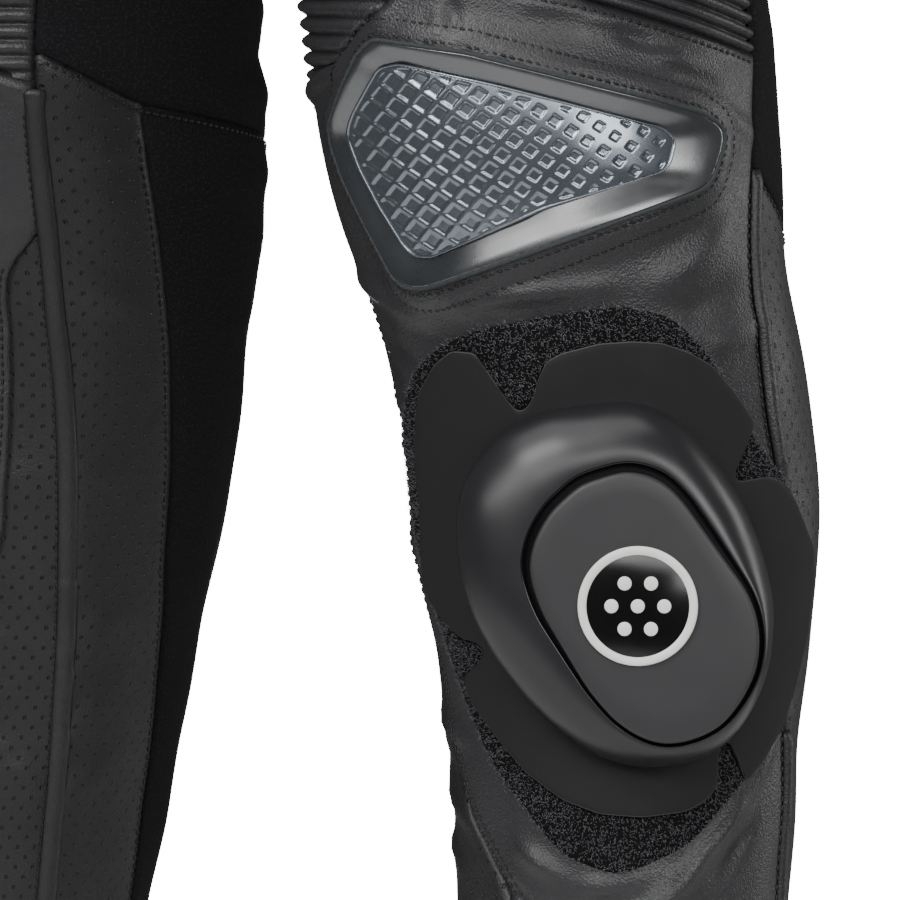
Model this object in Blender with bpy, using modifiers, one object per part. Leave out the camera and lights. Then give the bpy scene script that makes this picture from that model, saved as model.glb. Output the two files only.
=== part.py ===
# Leather motorcycle pants with ribbed knees, knee plates and knee sliders.
#
# The garment is hollow and stands as if worn. +Z is up, the front faces -Y, and the
# wearer's left leg is on the +X side. The origin is the centre of the waist opening.
# Lengths are in metres. Heights are negative, because the waist is at zero.
import math
from collections import namedtuple

import bmesh
import bpy

MM = 0.001

# Driving sizes
SEAM_GAP = 0.3 * MM
EASE = 0.6
LEATHER = 1.6 * MM
STRETCH = 1.2 * MM
COLUMN_DEGREES = 15.0
BAND_FOOT = -0.045
CROTCH = -0.250
GUSSET_TOP = -0.262
RIB_TOP = -0.425
HEM = -0.985
RIB_COUNT = 10
RIB_HEIGHT = 1.6 * MM
SHARP_ANGLE = math.radians(40)

# The template plane is a flat sheet held in front of the knee. It faces FACING degrees
# round from the front, towards the outside. Outlines on it are in millimetres, across and up
# from a point that lies this far from the leg's own axis plane and this far below the waist.
FACING = 50.5
VIEW = 52.0
PLANE_START = 64.1 * MM
PLANE_HEIGHT = -0.628

# One row for each level of the left half. From the waist to the crotch a row is one half of the
# body, and the two halves meet at the middle. Below it a row is a closed ring round the leg.
Section = namedtuple("Section", "z middle back_shift half_width front back")
SECTIONS = [
    Section(0.000, 0.0000, 0.0000, 0.1550, 0.1200, 0.1240),
    Section(-0.045, 0.0040, 0.0000, 0.1570, 0.1220, 0.1300),
    Section(-0.100, 0.0200, 0.0000, 0.1560, 0.1280, 0.1430),
    Section(-0.160, 0.0420, 0.0000, 0.1410, 0.1310, 0.1500),
    Section(-0.205, 0.0640, 0.0000, 0.1210, 0.1240, 0.1400),
    Section(-0.232, 0.0820, 0.0000, 0.1055, 0.1120, 0.1220),
    Section(-0.250, 0.0945, 0.0000, 0.0938, 0.1040, 0.1100),
    Section(-0.300, 0.1040, 0.0010, 0.0925, 0.0970, 0.1000),
    Section(-0.400, 0.1310, 0.0010, 0.0860, 0.0880, 0.0890),
    Section(-0.473, 0.1500, 0.0000, 0.0805, 0.0805, 0.0805),
    Section(-0.508, 0.1540, 0.0010, 0.0800, 0.0800, 0.0800),
    Section(-0.531, 0.1568, 0.0042, 0.0786, 0.0786, 0.0786),
    Section(-0.577, 0.1615, 0.0135, 0.0746, 0.0746, 0.0746),
    Section(-0.611, 0.1650, 0.0182, 0.0718, 0.0718, 0.0718),
    Section(-0.646, 0.1694, 0.0200, 0.0693, 0.0693, 0.0693),
    Section(-0.680, 0.1740, 0.0197, 0.0666, 0.0666, 0.0666),
    Section(-0.714, 0.1782, 0.0182, 0.0634, 0.0634, 0.0634),
    Section(-0.749, 0.1825, 0.0152, 0.0600, 0.0600, 0.0600),
    Section(-0.783, 0.1868, 0.0118, 0.0568, 0.0568, 0.0568),
    Section(-0.850, 0.1950, 0.0090, 0.0540, 0.0540, 0.0540),
    Section(-0.920, 0.2030, 0.0080, 0.0525, 0.0525, 0.0525),
    Section(-0.985, 0.2100, 0.0080, 0.0520, 0.0520, 0.0520),
]

# Seams that run down the leg: the angle round the leg at each level, from the front
# towards the outside. Inner angles are negative, or close to a full turn from the back.
Seam = namedtuple("Seam", "z angle")
OUTER_SEAM = [
    Seam(0.000, 92), Seam(-0.250, 98), Seam(-0.385, 116), Seam(-0.425, 119), Seam(-0.494, 121),
    Seam(-0.531, 114), Seam(-0.577, 105), Seam(-0.620, 103), Seam(-0.660, 107), Seam(-0.740, 119),
    Seam(-0.785, 124), Seam(-0.985, 125),
]
INNER_SEAM = [
    Seam(-0.250, -88), Seam(-0.272, -68), Seam(-0.310, -54), Seam(-0.400, -52),
    Seam(-0.600, -52), Seam(-0.700, -60), Seam(-0.783, -68), Seam(-0.985, -72),
]
SHIN_START = -0.567
SHIN_SEAM = [
    Seam(SHIN_START, -50.8), Seam(-0.577, -40), Seam(-0.590, -37), Seam(-0.686, -37),
    Seam(-0.714, -28), Seam(-0.733, -25), Seam(-0.762, -9), Seam(-0.783, 6),
    Seam(-0.830, 24), Seam(-0.985, 32),
]
CALF_SEAM = [
    Seam(-0.510, 278), Seam(-0.600, 272), Seam(-0.700, 262), Seam(-0.783, 246), Seam(-0.985, 240),
]
GUSSET_BACK = [
    Seam(-0.250, 268), Seam(-0.272, 250), Seam(-0.310, 234), Seam(-0.425, 228),
]
BACK_SEAM = 165.0
CENTRE_START = 20.0
CENTRE_END = 64.0

# Seams that run round the leg: the level at each angle.
Level = namedtuple("Level", "angle z")
KNEE_TOP = [
    Level(-52, -0.508), Level(-35, -0.501), Level(-7, -0.494), Level(4, -0.484), Level(20, -0.467),
    Level(42, -0.467), Level(64, -0.473), Level(83, -0.480), Level(98, -0.486), Level(121, -0.494),
]
KNEE_BACK_FOOT = [
    Level(100, -0.522), Level(114, -0.531), Level(136, -0.557), Level(165, -0.562),
    Level(218, -0.532), Level(278, -0.517), Level(308, -0.496),
]

# The rows of the thigh panels, and the rows and columns of the knee. A column stands at every
# corner of a seam that runs round the leg, so that the panels on both sides of it meet.
THIGH_LEVELS = [
    BAND_FOOT, -0.100, -0.160, -0.205, -0.232, -0.2475, -0.2525, GUSSET_TOP, -0.310, -0.370, RIB_TOP,
]
GUSSET_LEVELS = THIGH_LEVELS[7:]
CENTRE_LEVELS = [RIB_TOP, -0.446, -0.467]
KNEE_BACK_LEVELS = [RIB_TOP, -0.450, -0.475, -0.4935, -0.530]
FRONT_COLUMNS = [-52, -35, -20, -7, 4, 20, 31, 42, 53, 64, 74, 83, 98, 110, 121]
INNER_RIB_COLUMNS = FRONT_COLUMNS[:6]
CENTRE_COLUMNS = FRONT_COLUMNS[5:10]
OUTER_RIB_COLUMNS = FRONT_COLUMNS[9:]
BACK_COLUMNS = [100, 125, 136, 150, 165, 183, 200, 218, 233, 248, 264, 278, 294, 308]
OUTER_SHIN_COLUMNS = BACK_COLUMNS[:5]
CALF_COLUMNS = BACK_COLUMNS[4:12]
INNER_CALF_COLUMNS = BACK_COLUMNS[11:]
SHIN_TOP = -0.510
CALF_TOP = -0.562
INNER_CALF_TOP = -0.517

# Outlines on the template plane, in millimetres.
Spot = namedtuple("Spot", "across up")
PLATE_OUTLINE = [
    Spot(-24.8, 140.7), Spot(7.6, 136.6), Spot(34.5, 130.0), Spot(72.8, 120.3), Spot(88.3, 115.5),
    Spot(95.5, 110.3), Spot(95.5, 104.8), Spot(91.7, 93.4), Spot(88.3, 90.0), Spot(56.9, 79.0),
    Spot(23.4, 66.6), Spot(-6.9, 55.2), Spot(-13.8, 54.8), Spot(-18.3, 58.3), Spot(-28.3, 76.6),
    Spot(-36.2, 92.4), Spot(-40.0, 103.4), Spot(-40.7, 110.3), Spot(-36.2, 122.8), Spot(-30.3, 135.2),
]
INSERT_OUTLINE = [
    Spot(-24.8, 131.0), Spot(-17.2, 132.8), Spot(16.6, 125.9), Spot(40.0, 120.3), Spot(76.2, 111.0),
    Spot(80.7, 106.9), Spot(78.3, 97.9), Spot(75.5, 95.9), Spot(34.5, 84.1), Spot(3.1, 70.0),
    Spot(-5.9, 65.9), Spot(-12.4, 65.9), Spot(-16.6, 69.3), Spot(-25.9, 83.4), Spot(-33.2, 96.9),
    Spot(-36.6, 105.9), Spot(-36.6, 109.3), Spot(-34.5, 114.8), Spot(-28.6, 124.8),
]
PLATE_CENTRE = Spot(20.0, 100.0)
PATCH_OUTLINE = [
    Spot(-16.9, 5.2), Spot(-13.1, 23.1), Spot(-4.5, 33.1), Spot(10.3, 40.7), Spot(35.2, 45.9),
    Spot(60.0, 49.7), Spot(78.6, 45.9), Spot(92.8, 30.0), Spot(104.5, 4.1), Spot(118.0, -20.0),
    Spot(121.0, -50.0), Spot(119.0, -81.0), Spot(108.6, -111.0), Spot(84.8, -136.9), Spot(60.0, -146.9),
    Spot(39.3, -140.0), Spot(15.5, -111.0), Spot(5.5, -89.3), Spot(-1.4, -70.7), Spot(-9.3, -40.7),
]
BASE_OUTLINE = [
    Spot(-8.3, -51.7), Spot(-11.7, -7.6), Spot(-10.3, 17.2), Spot(-4.5, 28.0), Spot(1.7, 33.4),
    Spot(9.7, 33.1), Spot(22.4, 15.5), Spot(25.2, 13.1), Spot(30.7, 18.9), Spot(35.2, 31.0),
    Spot(40.3, 33.8), Spot(64.8, 37.9), Spot(83.8, 33.8), Spot(98.6, 20.0), Spot(105.2, 8.3),
    Spot(103.4, 2.4), Spot(98.6, -8.6), Spot(103.4, -11.4), Spot(113.4, -12.8), Spot(120.3, -27.6),
    Spot(124.1, -47.2), Spot(123.4, -67.6), Spot(116.6, -99.3), Spot(104.5, -116.6), Spot(102.1, -109.3),
    Spot(97.6, -101.7), Spot(94.5, -107.2), Spot(93.8, -117.9), Spot(82.8, -125.2), Spot(67.9, -126.6),
    Spot(40.3, -121.0), Spot(18.3, -102.4), Spot(5.5, -81.4), Spot(12.4, -73.4), Spot(13.1, -70.7),
    Spot(4.5, -67.9),
]
BODY_OUTLINE = [
    Spot(57.9, 17.2), Spot(35.2, 14.1), Spot(20.3, 7.2), Spot(5.5, -12.8), Spot(4.5, -35.5),
    Spot(10.3, -57.6), Spot(27.2, -83.4), Spot(47.2, -101.4), Spot(64.8, -108.3), Spot(84.8, -106.6),
    Spot(102.4, -94.5), Spot(112.4, -71.0), Spot(112.8, -47.6), Spot(102.4, -17.6), Spot(85.9, 5.2),
    Spot(69.0, 17.2),
]
FACE_OUTLINE = [
    Spot(61.0, -0.7), Spot(45.2, -5.5), Spot(30.5, -18.5), Spot(26.0, -35.5), Spot(31.4, -55.0),
    Spot(49.0, -81.4), Spot(64.8, -96.2), Spot(78.6, -100.0), Spot(96.6, -93.0), Spot(107.5, -75.0),
    Spot(109.3, -58.0), Spot(106.0, -46.5), Spot(98.6, -33.4), Spot(84.8, -12.8), Spot(71.0, -1.5),
]
SLIDER_CENTRE = Spot(62.0, -46.0)
BADGE_CENTRE = Spot(66.5, -50.5)
BADGE_RADIUS = 20.5

# The longest step of an overlay round the leg, and up it in millimetres.
WRAP_DEGREES = 12.0
WRAP_HEIGHT = 18.0
CLOSEST_TURN = 0.08
WIDEST_REACH = 0.985

# Rings of an overlay, as shares of its outline from the edge to the middle.
SHEET_RINGS = (1.0, 0.86, 0.7, 0.52, 0.35, 0.18)
INSERT_RINGS = (1.0, 0.74, 0.48, 0.24)
INSERT_GAP = 0.6

# How far each overlay's back and top stand off the leather.
PLATE_BACK = 0.99 * MM
FRAME_RIM = 4.6 * MM
FRAME_STEP = 2.0 * MM
INSERT_EDGE = 2.3 * MM
INSERT_CROWN = 4.4 * MM
PATCH_BACK = 0.99 * MM
PATCH_TOP = 2.2 * MM
BASE_BACK = 3.5 * MM
BASE_TOP = 4.7 * MM
BODY_BACK = 5.95 * MM
BODY_FOOT = 7.95 * MM

# The slider's levels in millimetres from the leg's axis, along the way that it faces. A share
# runs from the foot's outline at zero to the face's outline at one.
SLIDER_TURNS = [math.tau * k / 24 - math.pi for k in range(24)]
FOOT_RINGS = (0.25, 0.5, 0.75, 1.0)
Shoulder = namedtuple("Shoulder", "share out")
SHOULDER = [
    Shoulder(0.06, 80.0), Shoulder(0.22, 86.0), Shoulder(0.5, 91.0), Shoulder(0.8, 94.0), Shoulder(1.0, 95.0),
]
FaceRing = namedtuple("FaceRing", "out scale")
FACE_RINGS = [
    FaceRing(95.3, 0.5), FaceRing(95.3, 0.94), FaceRing(96.9, 0.94), FaceRing(97.4, 0.9), FaceRing(97.4, 0.5),
]
BODY_TOP = 95.0 * MM
FACE_TOP = 97.4 * MM
BADGE_TOP = 98.8 * MM

# The piping's cross section: how far from its seam, as a share of its half width, and how high.
PIPE_HALF = 2.4 * MM
PipePoint = namedtuple("PipePoint", "share lift")
PIPE = [PipePoint(-1.0, 0.9), PipePoint(-0.6, 2.4), PipePoint(0.6, 2.4), PipePoint(1.0, 0.9)]
Pipe = namedtuple("Pipe", "name seam top bottom shift")
PIPES = [
    Pipe("piping_outer_knee_", OUTER_SEAM, -0.535, -0.630, 1.6),
    Pipe("piping_outer_shin_", OUTER_SEAM, -0.735, -0.980, 1.6),
    Pipe("piping_inner_", INNER_SEAM, -0.512, -0.980, 0.0),
]

# The waist. Lifts are off the cloth, and the tab and the fly lie over the front middle.
BAND_OUT = 0.4 * MM
BAND_IN = -2.2 * MM
WAIST_TURNS = [k * COLUMN_DEGREES for k in range(1, 12)]
TAB_LEVELS = [-0.006, -0.022, -0.039]
TAB_LEFT = -0.052
TAB_RIGHT = 0.030
TAB_BACK = 1.2 * MM
TAB_TOP = 3.4 * MM
FLY_TOP = BAND_FOOT - 1.5 * MM
FLY_FOOT = -0.185
FLY_WIDTH = 34 * MM
FLY_LAP = 4 * MM
FLY_ROWS = 7
FLY_BACK = 1.1 * MM
FLY_FRONT = 2.9 * MM
STRIP_COLUMNS = 6
SNAP_RADIUS = 7.5 * MM
SNAP_DEPTH = 3.0 * MM
SNAP_EDGE = 0.8 * MM
SNAP_PLACE = -0.036
SNAP_LEVEL = -0.022
SNAP_OUT = 6.6 * MM


def section(z):
    """The ring at a level, straight from one row of the table to the next."""
    z = max(min(z, SECTIONS[0].z), SECTIONS[-1].z)
    for a, b in zip(SECTIONS, SECTIONS[1:]):
        if z >= b.z:
            share = (z - a.z) / (b.z - a.z)
            return Section(*(low + (high - low) * share for low, high in zip(a, b)))


def skin(angle, z, lift=0.0):
    """A point on the left half, lifted off the outside of the cloth."""
    ring = section(z)
    turn = math.radians(angle)
    depth = ring.front if math.cos(turn) > 0 else ring.back
    x = ring.middle + (ring.half_width + lift) * math.sin(turn)
    y = ring.back_shift - (depth + lift) * math.cos(turn)
    return (max(x, SEAM_GAP / 2), y, z)


def seam_angle(rows, z):
    """The angle of a seam that runs straight from one row of its table to the next."""
    z = max(min(z, rows[0].z), rows[-1].z)
    for a, b in zip(rows, rows[1:]):
        if z >= b.z:
            return a.angle + (b.angle - a.angle) * (z - a.z) / (b.z - a.z)


def seam_level(rows, angle):
    """The level of a seam that runs straight from one row of its table to the next."""
    angle = min(max(angle, rows[0].angle), rows[-1].angle)
    for a, b in zip(rows, rows[1:]):
        if angle <= b.angle:
            return a.z + (b.z - a.z) * (angle - a.angle) / (b.angle - a.angle)


def front_middle(z):
    """The angle where the left half meets the middle plane at the front."""
    ring = section(z)
    return -math.degrees(math.asin(min(1.0, ring.middle / ring.half_width)))


def front_inner_edge(z):
    return front_middle(z) if z > CROTCH else seam_angle(INNER_SEAM, z)


def back_inner_edge(z):
    return 180 - front_middle(z) if z > CROTCH else seam_angle(GUSSET_BACK, z)


def make_material(name, colour, roughness, metallic=0.0):
    material = bpy.data.materials.new(name)
    material.use_nodes = True
    shader = material.node_tree.nodes["Principled BSDF"]
    shader.inputs["Base Color"].default_value = (*colour, 1.0)
    shader.inputs["Roughness"].default_value = roughness
    shader.inputs["Metallic"].default_value = metallic
    material.diffuse_color = (*colour, 1.0)
    return material


def add_object(name, points, faces, material, side=1):
    """Adds a closed mesh, mirrored to the other leg when side is -1."""
    mesh = bpy.data.meshes.new(name)
    mesh.from_pydata([(side * x, y, z) for x, y, z in points], [], faces)
    cleaned = bmesh.new()
    cleaned.from_mesh(mesh)
    bmesh.ops.recalc_face_normals(cleaned, faces=cleaned.faces)
    cleaned.to_mesh(mesh)
    cleaned.free()
    mesh.materials.append(material)
    mesh.shade_smooth()
    mesh.set_sharp_from_angle(angle=SHARP_ANGLE)
    thing = bpy.data.objects.new(name, mesh)
    garment.objects.link(thing)
    return thing


def loft_faces(loops, columns, loops_closed, columns_closed):
    """Quads between rows of points that follow each other."""
    faces = []
    last_row = loops if loops_closed else loops - 1
    last_column = columns if columns_closed else columns - 1
    for row in range(last_row):
        below = (row + 1) % loops
        for column in range(last_column):
            right = (column + 1) % columns
            faces.append((row * columns + column, row * columns + right,
                          below * columns + right, below * columns + column))
    return faces


def wall(name, outside, inside, material, side=1, closed=False):
    """A cloth wall between a grid of outside points and a grid of inside points."""
    rows, columns = len(outside), len(outside[0])
    points = [point for row in outside + inside for point in row]
    count = rows * columns
    faces = loft_faces(rows, columns, False, closed)
    faces += [tuple(count + corner for corner in face) for face in faces]
    edges = [[column for column in range(columns)], [(rows - 1) * columns + c for c in range(columns)]]
    if closed:
        edges = [edge + edge[:1] for edge in edges]
    else:
        edges += [[row * columns for row in range(rows)], [row * columns + columns - 1 for row in range(rows)]]
    for edge in edges:
        faces += [(a, b, count + b, count + a) for a, b in zip(edge, edge[1:])]
    return add_object(name, points, faces, material, side)


def levels_between(top, bottom):
    """The levels that all panels share, between two heights, with both ends."""
    shared = sorted([row.z for row in SECTIONS] + [SHIN_START], reverse=True)
    return [top] + [z for z in shared if bottom + 6 * MM < z < top - 3 * MM] + [bottom]


def even_shares(width):
    count = max(2, math.ceil(width / COLUMN_DEGREES))
    return [k / count for k in range(count + 1)]


def shares_at(angles, edge, start, end):
    """Shares of a panel's width that put its columns at given angles along a sloping edge."""
    low, high = angles[0], angles[-1]
    for _ in range(4):
        low, high = start(edge(low)), end(edge(high))
    inner = [(angle - low) / (high - low) for angle in angles if low + 2 < angle < high - 2]
    return [0.0] + inner + [1.0]


def panel(name, side, material, thickness, top, bottom, start, end, levels, rib=None, shares=None):
    """A cloth panel. Its top and bottom are levels at an angle, and its start and end are angles
    at a level. The rows between lie at the given levels. With rib they are spread evenly
    instead, and it lifts the outside at a share of the way down."""
    shares = shares or even_shares(max(end(z) - start(z) for z in levels))
    last = len(levels) - 1

    def height(row, angle):
        if 0 < row < last and not rib:
            return levels[row]
        high, low = top(angle) - SEAM_GAP / 2, bottom(angle) + SEAM_GAP / 2
        return high + (low - high) * row / last

    outside, inside = [], []
    for row, level in enumerate(levels):
        spare = math.degrees(SEAM_GAP / 2 / section(level).half_width)
        low, high = start(level), end(level)
        for _ in range(5):
            low = start(height(row, low)) + spare
            high = end(height(row, high)) - spare
        lift = rib(row / last) if rib else 0.0
        outer_row, inner_row = [], []
        for along in shares:
            angle = low + (high - low) * along
            z = height(row, angle)
            outer_row.append(skin(angle, z, lift))
            inner_row.append(skin(angle, z, -thickness))
        outside.append(outer_row)
        inside.append(inner_row)
    return wall(name, outside, inside, material, side)


def at_level(z):
    return lambda angle: z


def at_angle(angle):
    return lambda z: angle


def rib_lift(share):
    """Half-round ribs, with a valley at both ends."""
    return RIB_HEIGHT * abs(math.sin(math.pi * RIB_COUNT * share))


def cloth(side, tag):
    """The sewn panels of one half of the garment."""
    outer = lambda z: seam_angle(OUTER_SEAM, z)
    inner = lambda z: seam_angle(INNER_SEAM, z)
    shin = lambda z: seam_angle(SHIN_SEAM, z) if z < SHIN_START + SEAM_GAP else inner(z)
    knee_top = lambda angle: seam_level(KNEE_TOP, angle)
    knee_foot = lambda angle: seam_level(KNEE_BACK_FOOT, angle)
    back_foot = lambda z: 360 + inner(z)
    gusset = lambda z: seam_angle(GUSSET_BACK, z)
    calf = lambda z: seam_angle(CALF_SEAM, z)
    centre_start, centre_end, back = at_angle(CENTRE_START), at_angle(CENTRE_END), at_angle(BACK_SEAM)
    band_foot, rib_top, hem = at_level(BAND_FOOT), at_level(RIB_TOP), at_level(HEM)
    panel("thigh_front_" + tag, side, leather, LEATHER, band_foot, rib_top,
          front_inner_edge, outer, THIGH_LEVELS)
    panel("thigh_back_" + tag, side, leather, LEATHER, band_foot, rib_top,
          outer, back_inner_edge, THIGH_LEVELS)
    panel("thigh_gusset_" + tag, side, stretch, STRETCH, at_level(GUSSET_TOP), rib_top,
          gusset, back_foot, GUSSET_LEVELS)
    rib_rows = 2 * RIB_COUNT
    ribs = [RIB_TOP + (KNEE_TOP[0].z - RIB_TOP) * k / rib_rows for k in range(rib_rows + 1)]
    panel("knee_ribs_inner_" + tag, side, leather, LEATHER, rib_top, knee_top, inner, centre_start,
          ribs, rib_lift, shares_at(INNER_RIB_COLUMNS, knee_top, inner, centre_start))
    panel("knee_ribs_outer_" + tag, side, leather, LEATHER, rib_top, knee_top, centre_end, outer,
          ribs, rib_lift, shares_at(OUTER_RIB_COLUMNS, knee_top, centre_end, outer))
    panel("knee_centre_" + tag, side, leather, LEATHER, rib_top, knee_top, centre_start, centre_end,
          CENTRE_LEVELS, shares=shares_at(CENTRE_COLUMNS, knee_top, centre_start, centre_end))
    panel("knee_back_" + tag, side, stretch, STRETCH, rib_top, knee_foot, outer, back_foot,
          KNEE_BACK_LEVELS, shares=shares_at(BACK_COLUMNS, knee_foot, outer, back_foot))
    panel("shin_front_" + tag, side, leather, LEATHER, knee_top, hem, shin, outer,
          levels_between(SHIN_TOP, HEM), shares=shares_at(FRONT_COLUMNS, knee_top, shin, outer))
    lower = levels_between(CALF_TOP, HEM)
    panel("shin_outer_" + tag, side, perforated, LEATHER, knee_foot, hem, outer, back,
          lower, shares=shares_at(OUTER_SHIN_COLUMNS, knee_foot, outer, back))
    panel("calf_back_" + tag, side, stretch, STRETCH, knee_foot, hem, back, lambda z: calf(z) - EASE,
          lower, shares=shares_at(CALF_COLUMNS, knee_foot, back, calf))
    panel("calf_inner_" + tag, side, perforated, LEATHER, knee_foot, hem, calf, back_foot,
          levels_between(INNER_CALF_TOP, HEM),
          shares=shares_at(INNER_CALF_COLUMNS, knee_foot, calf, back_foot))
    panel("shin_inner_" + tag, side, perforated, LEATHER, at_level(SHIN_START), hem, inner, shin,
          levels_between(SHIN_START, HEM))


def wrap(spot, lift):
    """Turns a spot of the template plane into one of a surface at a lift off the leg: degrees
    from the way that the slider faces, and millimetres up."""
    ring = section(PLANE_HEIGHT + spot.up * MM)
    turn = math.radians(VIEW)
    axis = ring.middle * math.cos(turn) + ring.back_shift * math.sin(turn) - PLANE_START
    reach = (spot.across * MM - axis) / (ring.half_width + lift)
    return Spot(math.degrees(math.asin(max(-WIDEST_REACH, min(WIDEST_REACH, reach)))), spot.up)


def wrap_outline(outline, lift):
    """A wrapped outline, with extra spots where a side turns far round the leg or is long."""
    wrapped = []
    for a, b in zip(outline, outline[1:] + outline[:1]):
        start, end = wrap(a, lift), wrap(b, lift)
        pieces = max(1, math.ceil(abs(end.across - start.across) / WRAP_DEGREES),
                     math.ceil(abs(end.up - start.up) / WRAP_HEIGHT))
        for k in range(pieces):
            part = k / pieces
            between = Spot(a.across + (b.across - a.across) * part, a.up + (b.up - a.up) * part)
            wrapped.append(wrap(between, lift))
    return wrapped


def drape(wrapped, lift):
    """The point of the left leg at a wrapped spot, lifted off the leather."""
    return skin(FACING + wrapped.across, PLANE_HEIGHT + wrapped.up * MM, lift)


def stand(spot, out):
    """Puts a spot of the template plane at a distance from the leg's axis."""
    z = PLANE_HEIGHT + spot.up * MM
    ring = section(PLANE_HEIGHT + SLIDER_CENTRE.up * MM)
    view = math.radians(VIEW)
    axis = ring.middle * math.cos(view) + ring.back_shift * math.sin(view) - PLANE_START
    turn = math.radians(FACING)
    along = spot.across * MM - axis
    return (ring.middle + along * math.cos(turn) + out * math.sin(turn),
            ring.back_shift + along * math.sin(turn) - out * math.cos(turn), z)


def directions(centre, *outlines):
    """The directions from a centre to every corner of some outlines, in order."""
    turns = {round(math.atan2(spot.up - centre.up, spot.across - centre.across), 3)
             for outline in outlines for spot in outline}
    kept = []
    for turn in sorted(turns):
        if not kept or turn - kept[-1] > CLOSEST_TURN:
            kept.append(turn)
    return kept


def reach_of(outline, centre, turn):
    """How far an outline lies from a centre in one direction."""
    dx, dy = math.cos(turn), math.sin(turn)
    best = 0.0
    for a, b in zip(outline, outline[1:] + outline[:1]):
        ex, ey = b.across - a.across, b.up - a.up
        cross = dx * ey - dy * ex
        if abs(cross) < 1e-9:
            continue
        ax, ay = a.across - centre.across, a.up - centre.up
        far = (ax * ey - ay * ex) / cross
        part = (ax * dy - ay * dx) / cross
        if far > 0 and -1e-6 <= part <= 1 + 1e-6:
            best = max(best, far)
    return best


def loop_of(outline, centre, turns, scale=1.0, inset=0.0):
    """An outline as spots in the given directions, scaled about its centre or set in."""
    spots = []
    for turn in turns:
        far = max(0.2, reach_of(outline, centre, turn) * scale - inset)
        spots.append(Spot(centre.across + far * math.cos(turn), centre.up + far * math.sin(turn)))
    return spots


def capped(name, loops, first_pole, last_pole, material, side):
    """A closed body through loops of points, with a pole at both ends."""
    columns = len(loops[0])
    points = [point for loop in loops for point in loop] + [first_pole, last_pole]
    faces = loft_faces(len(loops), columns, False, True)
    first, last = len(points) - 2, len(points) - 1
    end = (len(loops) - 1) * columns
    for column in range(columns):
        right = (column + 1) % columns
        faces.append((first, right, column))
        faces.append((last, end + column, end + right))
    return add_object(name, points, faces, material, side)


def sheet_on_leg(name, side, material, outline, centre, back, edge, crown, scales, turns, inset=0.0):
    """A thin piece that lies on the leg, from its wrapped outline to its middle."""
    loops = []
    for scale in reversed(scales):
        loops.append([drape(spot, back) for spot in loop_of(outline, centre, turns, scale, inset)])
    for scale in scales:
        lift = edge + (crown - edge) * (1 - scale ** 2)
        loops.append([drape(spot, lift) for spot in loop_of(outline, centre, turns, scale, inset)])
    return capped(name, loops, drape(centre, back), drape(centre, crown), material, side)


def knee_plate(side, tag):
    centre = wrap(PLATE_CENTRE, FRAME_RIM)
    plate = wrap_outline(PLATE_OUTLINE, FRAME_RIM)
    insert = wrap_outline(INSERT_OUTLINE, FRAME_RIM)
    turns = directions(centre, plate, insert)
    outer = loop_of(plate, centre, turns)
    inner = loop_of(insert, centre, turns)
    half = [Spot((a.across + b.across) / 2, (a.up + b.up) / 2) for a, b in zip(outer, inner)]
    loops = [[drape(spot, PLATE_BACK) for spot in ring] for ring in (inner, half, outer)]
    loops.append([drape(spot, FRAME_RIM) for spot in outer])
    loops.append([drape(spot, FRAME_STEP) for spot in inner])
    points = [point for loop in loops for point in loop]
    faces = loft_faces(len(loops), len(turns), True, True)
    add_object("plate_frame_" + tag, points, faces, satin, side)
    sheet_on_leg("plate_insert_" + tag, side, gloss, insert, centre, PLATE_BACK,
                 INSERT_EDGE, INSERT_CROWN, INSERT_RINGS, turns, inset=INSERT_GAP)


def knee_slider(side, tag):
    for name, outline, material, back, top in (
            ("loop_patch_", PATCH_OUTLINE, loop_pile, PATCH_BACK, PATCH_TOP),
            ("slider_base_", BASE_OUTLINE, base_rubber, BASE_BACK, BASE_TOP)):
        wrapped = wrap_outline(outline, top)
        centre = wrap(SLIDER_CENTRE, top)
        sheet_on_leg(name + tag, side, material, wrapped, centre, back, top, top,
                     SHEET_RINGS, directions(centre, wrapped))
    centre = wrap(SLIDER_CENTRE, BODY_BACK)
    foot = loop_of(BODY_OUTLINE, SLIDER_CENTRE, SLIDER_TURNS)
    rim = loop_of(FACE_OUTLINE, SLIDER_CENTRE, SLIDER_TURNS)

    def towards(a, b, share):
        return Spot(a.across + (b.across - a.across) * share, a.up + (b.up - a.up) * share)

    wrapped_foot = [wrap(spot, BODY_BACK) for spot in foot]
    loops = [[drape(towards(centre, spot, share), BODY_BACK) for spot in wrapped_foot] for share in FOOT_RINGS]
    loops.append([drape(spot, BODY_FOOT) for spot in wrapped_foot])
    for share, out in SHOULDER:
        loops.append([stand(towards(a, b, share), out * MM) for a, b in zip(foot, rim)])
    capped("slider_body_" + tag, loops, drape(centre, BODY_BACK), stand(SLIDER_CENTRE, BODY_TOP),
           slider_plastic, side)
    face_loops = [[stand(towards(SLIDER_CENTRE, spot, scale), out * MM) for spot in rim]
                  for out, scale in FACE_RINGS]
    capped("slider_face_" + tag, face_loops, stand(SLIDER_CENTRE, BODY_TOP + SEAM_GAP),
           stand(SLIDER_CENTRE, FACE_TOP), slider_plastic, side)
    disc = [Spot(BADGE_CENTRE.across + BADGE_RADIUS * math.cos(turn),
                 BADGE_CENTRE.up + BADGE_RADIUS * math.sin(turn)) for turn in SLIDER_TURNS]
    badge_loops = [[stand(spot, out) for spot in disc] for out in (FACE_TOP + SEAM_GAP, BADGE_TOP)]
    capped("slider_badge_" + tag, badge_loops, stand(BADGE_CENTRE, FACE_TOP + SEAM_GAP),
           stand(BADGE_CENTRE, BADGE_TOP), white, side)


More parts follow.
